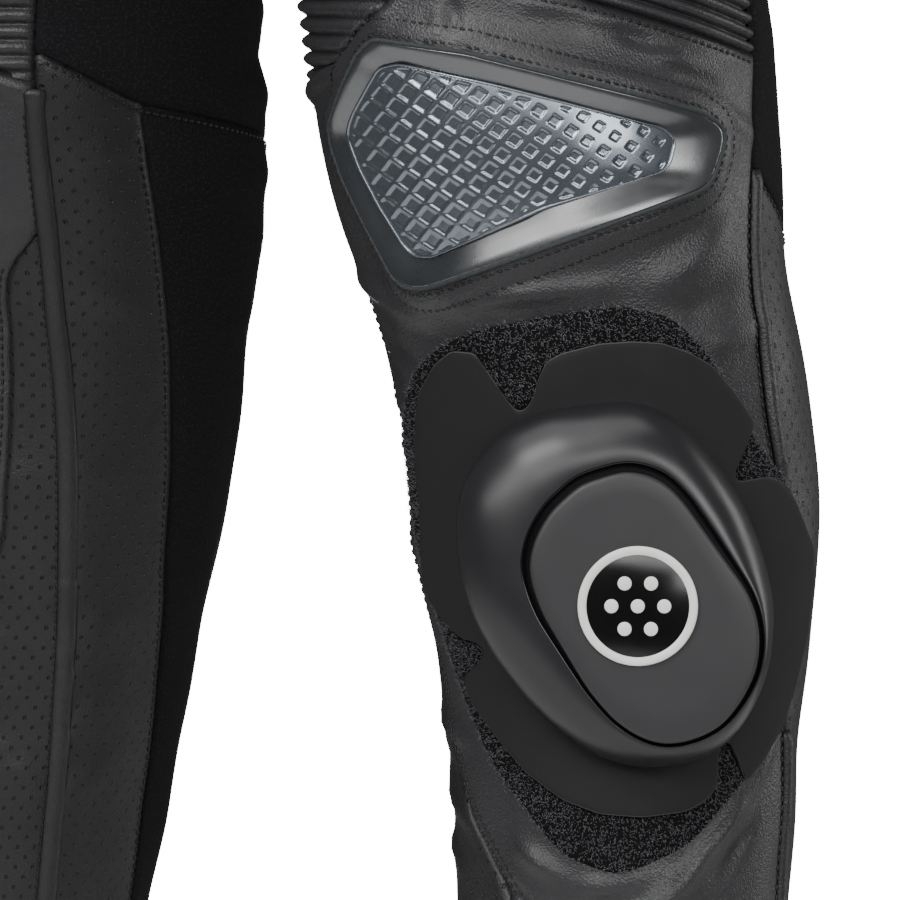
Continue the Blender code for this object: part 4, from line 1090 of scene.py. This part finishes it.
# %% Sewing the legs
PLATE_PITCH = 3.1 * MM
SEAM_ROWS = [
    (outer_seam, -0.06, -0.42, -3.0), (outer_seam, -0.06, -0.42, 3.0), (inner_seam, -0.52, -0.98, 4.2),
    (shin_line, -0.58, -0.98, 2.8), (shin_line, -0.70, -0.98, 6.0), (calf_seam, -0.53, -0.98, 2.8),
    (outer_seam, -0.54, -0.98, -2.6),
]
LEVEL_ROWS = [
    (knee_top, 22, 119, -2.8), (knee_back_foot, 118, 306, -2.8), (flat(RIB_TOP), -50, 117, 2.8),
    (flat(HEM), -180, 180, 9.0), (flat(BAND_FOOT), 4, 176, -2.6),
]
fly_row(-1, 5 * MM)
for leg, tag in SIDES.items():
    for gap in ROW_GAPS_MM:
        row_angle, row_z = plate_row(gap)
        stitch(leg, row_angle, row_z, cloth_lift(row_angle, row_z), PLATE_PITCH, slant=0.25)
    for row in SEAM_ROWS:
        seam_row(leg, *row)
    for row in LEVEL_ROWS:
        level_row(leg, *row)
    add_piece("thread_" + tag, leg, np.concatenate(thread_points[leg]), thread_faces[leg],
              [thread_black], "black_leather")
    print("stitches on leg", tag, len(thread_points[leg]))

# %% [markdown]
# Piping is a strip of leather folded over a cord and sewn into a seam. It shows as a half round
# bead. Its colour is a little darker than the panels, which is painted shade. Here it is lofted
# along the seam from a small profile.

# %% Piping
PIPING_SINK = 0.7 * MM
PIPING_FADE = 4 * MM
PIPING_THICKNESS = 0.8 * MM


def piping(name, side, line, top, bottom, shift_deg, half_mm, high_mm):
    """A half round bead along a seam, from one height to another."""
    z = np.arange(top, bottom, -2 * MM)
    angle = line(z) + shift_deg
    turns = np.linspace(0, math.pi, 13)
    fade = ease(np.minimum(z - z[-1], z[0] - z) / PIPING_FADE)[:, None]
    spread_deg = np.degrees(half_mm * MM * np.cos(turns)[None, :] / ring("half_width", z)[:, None])
    ridge = (np.sin(turns)[None, :] ** 0.8) * high_mm * MM * (0.25 + 0.75 * fade)
    base = cloth_lift(angle, z)[:, None]
    place, height = angle[:, None] + spread_deg, z[:, None] + 0 * spread_deg
    points = skin(place, height, base + ridge - PIPING_SINK)
    piece = add_piece(name + "_bead_" + SIDES[side], side, points, quads(*points.shape[:2]),
                      [piping_painted_shade_leather], "black_leather", [name + "_" + SIDES[side]],
                      chart=leg_map(place, height))
    thicken(piece, -PIPING_THICKNESS)
    return piece


for leg, tag in SIDES.items():
    piping("piping_outer_knee", leg, outer_seam, -0.533, -0.640, 1.6, 2.4, 2.2)
    piping("piping_outer_shin", leg, outer_seam, -0.730, -0.981, 1.6, 2.4, 2.2)
    piping("piping_inner", leg, inner_seam, -0.511, -0.981, 0.0, 3.3, 2.0)
print("piping beads:", 3 * len(SIDES))

# %% [markdown]
# The knee plate's frame is moulded with a raised rim and a face that slopes down to the insert, so
# each side catches the light differently and mitre lines show at the corners. It is lofted between
# the two outlines, which are read in the same directions from the plate's middle.

# %% Plate frame
TURNS = np.linspace(-math.pi, math.pi, 480, endpoint=False)
plate_reach = reach_at(plate_line, PLATE_MIDDLE, TURNS)
insert_reach = reach_at(insert_line, PLATE_MIDDLE, TURNS)


def ray_points(middle, turns, far):
    """Template places at distances from a middle, in given directions."""
    return np.stack([middle[0] + far * np.cos(turns), middle[1] + far * np.sin(turns)], axis=-1)


def draped(places, lift, held_at):
    """Template places bent round the leg, true to the template at the lift held_at."""
    wrapped = wrap(places, held_at)
    return skin(wrapped[..., 0], wrapped[..., 1], lift)


def loft(name, side, loops, materials, slot, replaced=(), open_ends=False, **more):
    """A piece made from closed loops of points. It closes on itself, or its ends stay open."""
    loops = np.array(loops)
    piece = add_piece(name, side, loops, quads(*loops.shape[:2], not open_ends, True), materials, slot,
                      replaced, **more)
    outward(piece)
    return piece


Step = namedtuple("Step", "share lift_mm")
FRAME_PROFILE = [
    Step(-0.02, 0.9), Step(-0.02, 3.4), Step(0.0, 4.1), Step(0.03, 4.45), Step(0.07, 4.45),
    Step(0.3, 3.35), Step(0.6, 2.05), Step(0.92, 0.6), Step(0.97, 0.45), Step(1.03, 0.3),
]
for leg, tag in SIDES.items():
    loops = []
    for step in FRAME_PROFILE:
        far = plate_reach + (insert_reach - plate_reach) * step.share
        loops.append(draped(ray_points(PLATE_MIDDLE, TURNS, far), step.lift_mm * MM, PLATE_LIFT))
    loft("plate_frame_moulded_" + tag, leg, loops, [satin_nylon], "satin_frame", ["plate_frame_" + tag])
print("frame profile steps:", len(FRAME_PROFILE))

# %% [markdown]
# The insert is a glossy moulding with a slow crown and a field of small sunk diamonds that shrink
# towards the outer end. The grid of points is turned to follow the rows, and each diamond is
# pressed into it with steep walls.

# %% Plate insert
INSERT_CELL_MM = {1: 0.46, -1: 0.8}
INSERT_TURN = math.radians(9.0)
DIAMOND_ACROSS_MM = 10.0
DIAMOND_UP_MM = 8.6
DIAMOND_DEPTH = 0.6 * MM
INSERT_LOW = 1.15 * MM
INSERT_CROWN = 1.26 * MM
DIAMOND_LARGE = 0.84
DIAMOND_SMALL = 0.34
DIAMOND_SHRINK = 0.0042
PLAIN_RIM_MM = 1.6
RIM_RADIUS_MM = 0.55
INSERT_THICKNESS = 0.6 * MM
CUT_EDGE_MM = 0.8


def diamonds(u, v):
    """How deep the insert is pressed, from zero to one, at places in its own rows."""
    row = np.floor(v / (DIAMOND_UP_MM / 2))
    deep = np.zeros_like(u)
    for shift in (-1, 0, 1):
        line = row + shift
        offset = (line % 2) * DIAMOND_ACROSS_MM / 2
        cell = np.round((u - offset) / DIAMOND_ACROSS_MM)
        cu, cv = cell * DIAMOND_ACROSS_MM + offset, (line + 0.5) * DIAMOND_UP_MM / 2
        size = np.clip(DIAMOND_LARGE - DIAMOND_SHRINK * (cu + 40), DIAMOND_SMALL, DIAMOND_LARGE)
        gap = np.abs(u - cu) / (DIAMOND_ACROSS_MM / 2) + np.abs(v - cv) / (DIAMOND_UP_MM / 2)
        deep = np.maximum(deep, ease((size - gap) / 0.1))
    return deep


for leg, tag in SIDES.items():
    u = np.arange(-66, 72, INSERT_CELL_MM[leg])[None, :]
    v = np.arange(-44, 44, INSERT_CELL_MM[leg])[:, None]
    u, v = u + 0 * v, v + 0 * u
    across = PLATE_MIDDLE.across + u * math.cos(INSERT_TURN) - v * math.sin(INSERT_TURN)
    up = PLATE_MIDDLE.up + u * math.sin(INSERT_TURN) + v * math.cos(INSERT_TURN)
    side_way, rise = across - PLATE_MIDDLE.across, up - PLATE_MIDDLE.up
    away = np.hypot(side_way, rise)
    limit = reach_at(insert_line, PLATE_MIDDLE, np.arctan2(rise, side_way))
    share = away / limit
    rim_gap = limit - away
    press = diamonds(u, v) * ease((rim_gap - PLAIN_RIM_MM) / 0.8)
    lift = INSERT_LOW + INSERT_CROWN * (1 - share ** 2) - DIAMOND_DEPTH * press
    points = draped(np.stack([across, up], axis=-1), lift, PLATE_LIFT)
    faces = quads(*u.shape)
    inside = (rim_gap > -0.3).ravel()
    faces = faces[inside[faces].all(axis=1)]
    used = np.unique(faces)
    lookup = np.zeros(inside.size, int)
    lookup[used] = np.arange(len(used))
    piece = add_piece("plate_insert_moulded_" + tag, leg, points.reshape(-1, 3)[used], lookup[faces],
                      [smoked_gloss], "gloss_insert", ["plate_insert_" + tag])
    thicken(piece, INSERT_THICKNESS)
    rim = []
    for turn in np.linspace(0, math.tau, 10, endpoint=False):
        far = insert_reach + RIM_RADIUS_MM * math.cos(turn)
        high = INSERT_LOW + (0.1 + RIM_RADIUS_MM * math.sin(turn)) * MM
        rim.append(draped(ray_points(PLATE_MIDDLE, TURNS, far), high, PLATE_LIFT))
    loft("plate_insert_rim_" + tag, leg, rim, [smoked_gloss], "gloss_insert")
    bead = []
    for turn in np.linspace(0, math.tau, 8, endpoint=False):
        gap_angle, gap_z = plate_row(0.5 + CUT_EDGE_MM * math.cos(turn))
        count = np.arange(len(gap_z))
        rough = 0.16 * np.sin(count * 1.9) + 0.13 * np.sin(count * 0.83) + 0.1 * np.sin(count * 2.71)
        bead.append(skin(gap_angle, gap_z, EDGE_LIFT + (0.85 + rough) * math.sin(turn) * MM)[:-1])
    loft("plate_cut_edge_" + tag, leg, bead, [raw_edge], "black_leather")
print("insert, mm across and up:", np.ptp(insert_line, axis=0).round())

# %% [markdown]
# The loop patch is the soft half of a hook and loop fastening. A thin pad gives its body, and
# thousands of tiny leaning tips stand on it. They are joined into one mesh, because a rug of fine
# bumps alone would look smooth at its edge. Their scatter and width are in degrees round the leg
# and in metres up it.

# %% Loop patch
TIP_COUNT = {1: 20000, -1: 8000}
TIP_HEIGHT = 1.1 * MM
TIP_SCATTER = [0.6, 0.8 * MM]
TIP_WIDTH = [0.17, 0.21 * MM]
PAD_EDGE = [(1.0, 0.3), (1.004, 0.9), (1.0, 1.6), (0.985, 2.0)]


def shrink(wrapped, share):
    """An outline drawn in towards the slider's middle."""
    return slider_middle + (wrapped - slider_middle) * share


def laid(places, lift):
    """Points of a piece that lies on the leg and follows its broad swells."""
    return skin(places[:, 0], places[:, 1], lift + fold_lift(places[:, 0], places[:, 1], SWELLS))


for leg, tag in SIDES.items():
    loops = []
    for share, lift in PAD_EDGE:
        loops.append(laid(shrink(patch_wrapped, share), lift * MM))
    for share in np.linspace(0.96, 0.02, 16):
        loops.append(laid(shrink(patch_wrapped, share), PATCH_TOP))
    pad = loft("loop_patch_pad_" + tag, leg, loops, [pile_black], "loop_pile", ["loop_patch_" + tag],
               open_ends=True)
    chance = np.random.default_rng(7)
    count = TIP_COUNT[leg]
    pick = chance.integers(0, len(patch_wrapped), count)
    share = np.sqrt(chance.uniform(0.5, 1.01, count))
    root = slider_middle + (patch_wrapped[pick] - slider_middle) * share[:, None]
    root = root + chance.normal(0, 1, (count, 2)) * TIP_SCATTER
    tip = root + chance.normal(0, 1, (count, 2)) * TIP_SCATTER
    high = TIP_HEIGHT * chance.uniform(0.5, 1.0, count)
    spin = chance.uniform(0, math.tau, count)
    corners = [laid(tip, PATCH_TOP + high)]
    for third in range(3):
        turn = spin + math.tau * third / 3
        foot = root + np.stack([np.cos(turn), np.sin(turn)], axis=1) * TIP_WIDTH
        corners.append(laid(foot, PATCH_TOP - 0.2 * MM))
    points = np.stack(corners, axis=1).reshape(-1, 3)
    first = np.arange(count)[:, None] * 4
    faces = np.concatenate([first + np.array(face) for face in ((0, 1, 2), (0, 2, 3), (0, 3, 1))])
    # The tips' pale grey against the near-black pad is painted sparkle.
    pile = add_piece("loop_patch_pile_" + tag, leg, points, faces, [pile_tip_painted_sparkle], "loop_pile")
print("loop tips on the left and right:", TIP_COUNT[1], TIP_COUNT[-1])

# %% [markdown]
# The slider's base is a thin flexible sheet with lobes and notches, cut with a knife, so its edge is
# paler than its top. It bends with the leg.

# %% Slider base
base_line = rounded(BASE, 2.6, 600)
BASE_FOOT = 3.0 * MM
BASE_TOP = 4.2 * MM
BASE_EDGE = [(1.0, 3.0), (1.0, 3.9), (0.996, 4.15)]
CUT_BANDS = (5, 6)
base_wrapped = wrap(base_line, BASE_TOP)
for leg, tag in SIDES.items():
    loops = []
    for share in np.linspace(0.3, 0.97, 5):
        loops.append(laid(shrink(base_wrapped, share), BASE_FOOT))
    for share, lift in BASE_EDGE:
        loops.append(laid(shrink(base_wrapped, share), lift * MM))
    for share in np.linspace(0.97, 0.3, 6):
        loops.append(laid(shrink(base_wrapped, share), BASE_TOP))
    slots = np.repeat([int(band in CUT_BANDS) for band in range(len(loops))], len(base_wrapped))
    piece = loft("slider_base_sheet_" + tag, leg, loops, [base_matte, base_cut], "base_rubber",
                 ["slider_base_" + tag], face_slots=slots)
print("slider base, mm across and up:", np.ptp(base_line, axis=0).round())

# %% [markdown]
# The slider itself is one solid moulding. Its foot follows the leg, its shoulder is a broad curve
# that is wide on the upper inner side and steep on the outer side, and a glossy groove rings a
# flat face. It is lofted from the foot's outline to the face's.

# %% Slider
BODY_TURNS = np.linspace(-math.pi, math.pi, 192, endpoint=False)
SHOULDER_LOW_MM = 78.0
SHOULDER_HIGH_MM = 95.0
SHOULDER_POWER = 1.75
FOOT_LIFT = 6.6 * MM
foot_reach = reach_at(rounded(BODY, 8.0), SLIDER_MIDDLE, BODY_TURNS)
face_reach = reach_at(rounded(FACE, 8.0), SLIDER_MIDDLE, BODY_TURNS)


def standing(places, out):
    """Template places at a distance in millimetres from the leg's axis, facing outwards."""
    height = PLANE_HEIGHT + SLIDER_MIDDLE.up * MM
    turn = math.radians(FACING)
    run = places[..., 0] * MM - axis_across(height)
    out = out * MM + 0 * run
    return np.stack([ring("middle", height) + run * math.cos(turn) + out * math.sin(turn),
                     ring("back_shift", height) + run * math.sin(turn) - out * math.cos(turn),
                     PLANE_HEIGHT + places[..., 1] * MM], axis=-1)


def slider_ring(share, scale=1.0, inset_mm=0.0):
    """An outline between the slider's foot and its face, on the template."""
    far = (foot_reach + (face_reach - foot_reach) * share) * scale
    return ray_points(SLIDER_MIDDLE, BODY_TURNS, far - inset_mm)


def capped(name, side, loops, materials, slot, replaced=(), bands=None):
    """A piece made from closed loops, each end closed with a fan to its middle."""
    loops = np.array(loops)
    rows, count = loops.shape[:2]
    total = rows * count
    fans = []
    for k in range(count):
        after = (k + 1) % count
        fans.append([total, after, k])
        fans.append([total + 1, total - count + k, total - count + after])
    points = np.concatenate([loops.reshape(-1, 3), [loops[0].mean(axis=0), loops[-1].mean(axis=0)]])
    faces = [list(face) for face in quads(rows, count, False, True)] + fans
    face_slots = None if bands is None else list(np.repeat(bands, count)) + [0] * len(fans)
    outward(add_piece(name, side, points, faces, materials, slot, replaced, face_slots))


# %% Slider block and face
FACE_OUT_MM = 97.3
FACE_EDGE = [(0.6, 93.3), (0.05, 93.6), (0.0, 95.2), (0.15, 96.3), (0.7, 96.9), (1.6, 97.2)]
FOOT_PROFILE = [(0.6, 4.5), (0.985, 4.5), (1.0, 5.0), (1.0, 6.6)]
GROOVE_PROFILE = [(0.12, 95.0), (0.22, 94.7), (0.3, 93.9), (0.4, 93.2), (0.8, 93.0), (1.3, 93.0)]
FACE_SCALES = (0.75, 0.4)
GROOVE_MM = 2.75
GROOVE_SWING_MM = 1.15
GROOVE_WIDEST = math.radians(105)
groove = GROOVE_MM + GROOVE_SWING_MM * np.cos(BODY_TURNS - GROOVE_WIDEST)
for leg, tag in SIDES.items():
    loops = [draped(slider_ring(0.0, scale), lift * MM, FOOT_LIFT) for scale, lift in FOOT_PROFILE]
    bands = [0] * (len(FOOT_PROFILE) - 1)
    for share in 1 - np.cos(np.linspace(0.06, 1.0, 26) * math.pi / 2):
        bulge = (1 - (1 - share) ** SHOULDER_POWER) ** (1 / SHOULDER_POWER)
        out = SHOULDER_LOW_MM + (SHOULDER_HIGH_MM - SHOULDER_LOW_MM) * bulge
        loops.append(standing(slider_ring(share), out))
        bands.append(0)
    for part, out in GROOVE_PROFILE:
        loops.append(standing(slider_ring(1.0, 1.0, groove * part), out))
        bands.append(1)
    capped("slider_block_" + tag, leg, loops, [slider_satin, slider_gloss], "slider_plastic",
           ["slider_body_" + tag], bands)
    loops = [standing(slider_ring(1.0, 1.0, groove + inset), out) for inset, out in FACE_EDGE]
    loops += [standing(slider_ring(1.0, scale), FACE_OUT_MM) for scale in FACE_SCALES]
    capped("slider_face_plate_" + tag, leg, loops, [slider_matte], "slider_plastic",
           ["slider_face_" + tag])
print("slider, mm from the leg's axis to its face:", FACE_OUT_MM)

# %% [markdown]
# A plain round badge marks the face: a white ring round a black field with seven white dots, each
# a low moulding that stands a little above the face.

# %% Badge


def disc(name, side, middle, radius, profile, material, replaced=(), count=96):
    """A round piece on the slider's face. Its profile says how far each loop lies outside the
    radius and above the face, in millimetres."""
    turns = np.linspace(0, math.tau, count, endpoint=False)
    loops = [standing(ray_points(middle, turns, radius + step), FACE_OUT_MM + out)
             for step, out in profile]
    capped(name, side, loops, [material], "badge_white", replaced)


# %% Ring, field and dots
RING_PROFILE = [(-0.3, -0.2), (0.0, 0.3), (0.0, 1.1), (-0.5, 1.45), (-2.6, 1.45), (-3.0, 0.9)]
FIELD_PROFILE = [(-2.9, 0.5), (-2.9, 0.95), (-3.1, 1.05)]
DOT_PROFILE = [(0.0, 0.9), (0.0, 1.35), (-0.3, 1.5)]
DOT_RING_MM = 9.0
DOT_RADIUS_MM = 2.4
MIDDLE_DOT = 6
for leg, tag in SIDES.items():
    disc("badge_ring_" + tag, leg, BADGE_MIDDLE, BADGE_RADIUS_MM, RING_PROFILE, badge_white,
         ["slider_badge_" + tag])
    disc("badge_field_" + tag, leg, BADGE_MIDDLE, BADGE_RADIUS_MM, FIELD_PROFILE, badge_black)
    for number in range(MIDDLE_DOT + 1):
        turn = math.tau * number / MIDDLE_DOT
        reach = 0.0 if number == MIDDLE_DOT else DOT_RING_MM
        place = Spot(BADGE_MIDDLE.across + reach * math.cos(turn),
                     BADGE_MIDDLE.up + reach * math.sin(turn))
        disc("badge_dot_%d_%s" % (number, tag), leg, place, DOT_RADIUS_MM, DOT_PROFILE, badge_white,
             count=32)
print("dots on each badge:", MIDDLE_DOT + 1)

# %% [markdown]
# The waist lies outside the photograph and is finished plainly: a band, a tab that closes over its
# front with a snap, and a flap over the fly. Each is leather with turned edges and a stitched
# border. The snap's solid already has its form and only gets its metal.

# %% Waist
WAIST_TURNS = np.arange(-180.0, 180.0, 2.0)
TAB_TOP, TAB_FOOT, TAB_LEFT, TAB_RIGHT = -0.006, -0.039, -0.052, 0.030
FLY_LAP = 0.004
TURNED_EDGE = 3.0 * MM
BORDER_ROW = 5.0 * MM
EDGE_DROP = 1.6 * MM
ROW_DENT = 0.4 * MM
ROW_WIDTH = 0.8 * MM
STRIP_COLUMNS = 60


def body_ring(z, lift):
    """A whole ring round the body, from both halves."""
    half = np.abs(WAIST_TURNS)
    points = skin(half, np.full_like(half, z), lift)
    points[:, 0] = np.where(half % 180 == 0, 0.0, points[:, 0])
    points[:, 0] *= np.sign(WAIST_TURNS + 1e-9)
    return points


def front_strip(name, top, foot, left, right, lift, node):
    """A leather strip over the front middle, with turned edges and a dented border row."""
    rows = max(18, int((top - foot) / (1.5 * MM)))
    z = np.linspace(top, foot, rows)[:, None] + np.zeros((1, STRIP_COLUMNS))
    x = left(z) + (right - left(z)) * np.linspace(0, 1, STRIP_COLUMNS)[None, :]
    edge = np.minimum(np.minimum(x - left(z), right - x), np.minimum(top - z, z - foot))
    turn = np.arcsin(np.clip((np.abs(x) - ring("middle", z)) / ring("half_width", z), -1, 1))
    rise = lift - EDGE_DROP * (1 - ease(edge / TURNED_EDGE))
    rise = rise - ROW_DENT * np.exp(-((edge - BORDER_ROW) / ROW_WIDTH) ** 2)
    points = np.stack([x, ring("back_shift", z) - (ring("front", z) + rise) * np.cos(turn), z], axis=-1)
    piece = add_piece(name, 1, points, quads(*x.shape)[:, ::-1], [black_leather], "black_leather", [node],
                      chart=np.stack([x, z], axis=-1))
    thicken(piece, PANEL_THICKNESS)


# %% Band, tab, flap and snap
front_strip("waist_tab_leather", TAB_TOP, TAB_FOOT, flat(TAB_LEFT), TAB_RIGHT, 3.6 * MM, "waist_tab")
front_strip("fly_flap_leather", FLY_TOP, FLY_FOOT, lambda z: -fly_edge(z), FLY_LAP, 3.0 * MM, "fly_flap")
BAND_ROWS = [
    (0.0, -2.0), (0.0, 0.0), (-0.0015, 0.7), (-0.004, 0.6), (-0.006, 1.0), (-0.022, 1.4),
    (-0.039, 1.0), (-0.0415, 0.6), (-0.0445, 0.7), (-0.0448, -2.0), (-0.022, -2.2),
]
WAIST_RADIUS = 0.14
loops = np.array([body_ring(z, lift * MM) for z, lift in BAND_ROWS])
around = np.broadcast_to(np.radians(WAIST_TURNS) * WAIST_RADIUS, loops.shape[:2])
band = loft("waistband_leather", 1, loops, [black_leather], "black_leather", ["waistband"],
            chart=np.stack([around, loops[..., 2]], axis=-1))
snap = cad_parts["waist_snap"].data.materials
snap.clear()
snap.append(snap_metal)
print("waist pieces: band, tab, flap and snap")

# %% [markdown]


# %% [markdown]
# The studio is a pale round floor, with a bright white sheet far behind that fills the picture. It
# is far enough away to leave the black leather dark. Five soft lamps draw the form: one overhead, a
# long one in front that the plate mirrors, one at each side, and one behind for the outer rim.

# %% Stage and light
FLOOR = -1.0
FLOOR_RADIUS = 0.75


def stage_piece(name, points, faces, values):
    """A floor or backdrop that isn't part of the pants."""
    mesh = bpy.data.meshes.new(name)
    mesh.from_pydata(points, [], faces)
    mesh.materials.append(new_material(name + "_paper", values)[0])
    thing = bpy.data.objects.new(name, mesh)
    bpy.context.scene.collection.objects.link(thing)


def beside(row_right, row_near, row_up):
    """A place right of, towards the camera from and above the middle of the view."""
    return LOOK_AT + ACROSS * row_right + NEAR * row_near + Vector((0, 0, row_up))


# %% Lamps
Lamp = namedtuple("Lamp", "name right near up wide tall power")
LAMPS = [
    Lamp("overhead_softbox", -0.3, 0.3, 1.6, 1.5, 1.5, 16.0),
    Lamp("front_strip", -0.6, 1.5, 0.62, 2.8, 0.38, 22.0),
    Lamp("left_softbox", -0.9, 1.15, 1.25, 0.5, 0.5, 15.0),
    Lamp("right_softbox", 0.84, 1.36, 0.34, 0.72, 0.68, 10.8),
    Lamp("rim_softbox", 1.45, -0.55, 0.2, 0.5, 1.2, 7.0),
]
LOOK_AT = Vector((0.167, 0.02, -0.60))
ACROSS = Vector((math.cos(math.radians(VIEW)), math.sin(math.radians(VIEW)), 0))
NEAR = Vector((math.sin(math.radians(VIEW)), -math.cos(math.radians(VIEW)), 0))
floor_turns = [math.tau * k / 96 for k in range(96)]
floor = [(FLOOR_RADIUS * math.cos(turn), FLOOR_RADIUS * math.sin(turn), FLOOR) for turn in floor_turns]
stage_piece("floor", floor, [list(range(96))], {"Base Color": linear("#f2f2f2"), "Roughness": 0.9})
SHEET_CORNERS = ((-0.62, -1.07), (0.62, -1.07), (0.62, 0.2), (-0.62, 0.2))
SHEET_NEAR = -5.0
stage_piece("white_sheet", [beside(x, SHEET_NEAR, z) for x, z in SHEET_CORNERS], [[0, 1, 2, 3]],
            {"Base Color": linear("#ffffff"), "Emission Color": linear("#ffffff"),
             "Emission Strength": 16.0})
for row in LAMPS:
    data = bpy.data.lights.new(row.name, "AREA")
    data.shape = "RECTANGLE"
    data.size = row.wide
    data.size_y = row.tall
    data.energy = row.power
    lamp = bpy.data.objects.new(row.name, data)
    lamp.location = beside(row.right, row.near, row.up)
    lamp.rotation_euler = (LOOK_AT - lamp.location).to_track_quat("-Z", "Y").to_euler()
    bpy.context.scene.collection.objects.link(lamp)
world = bpy.data.worlds.new("studio")
world.use_nodes = True
world.node_tree.nodes["Background"].inputs["Color"].default_value = (1, 1, 1, 1)
world.node_tree.nodes["Background"].inputs["Strength"].default_value = 0.1
bpy.context.scene.world = world
print("lamps:", [row.name for row in LAMPS])

# %% [markdown]
# The camera is a long lens, a little above the knee and looking slightly down, three quarters from
# the front. The photograph is square and shows 2.9 pixels to each millimetre at the slider.

# %% Camera
DOWN = math.radians(5.0)
DISTANCE = 2.2
PIXELS = 900
PIXELS_PER_MM = 2.9
AIM_NEAR = 0.07
camera_data = bpy.data.cameras.new("camera")
camera_data.sensor_width = 36.0
camera_data.lens = PIXELS_PER_MM * DISTANCE * 1000 * camera_data.sensor_width / PIXELS
camera_data.clip_end = 50
camera = bpy.data.objects.new("camera", camera_data)
back = NEAR * math.cos(DOWN) + Vector((0, 0, math.sin(DOWN)))
knee = Vector((float(ring("middle", PLANE_HEIGHT)), float(ring("back_shift", PLANE_HEIGHT)),
               PLANE_HEIGHT))
aim = knee - ACROSS * float(axis_across(PLANE_HEIGHT)) + NEAR * AIM_NEAR
camera.location = aim + back * DISTANCE
camera.rotation_euler = back.to_track_quat("Z", "Y").to_euler()
bpy.context.scene.collection.objects.link(camera)
bpy.context.scene.camera = camera
print("lens, mm:", round(camera_data.lens))

# %% Triangle counts
ready = bpy.context.evaluated_depsgraph_get()
counts = {}
for piece in made:
    shape = piece.evaluated_get(ready).to_mesh()
    counts[piece.name] = sum(len(face.vertices) - 2 for face in shape.polygons)
largest = sorted(counts.items(), key=lambda row: -row[1])[:8]
print("triangles:", sum(counts.values()), "largest:", largest)
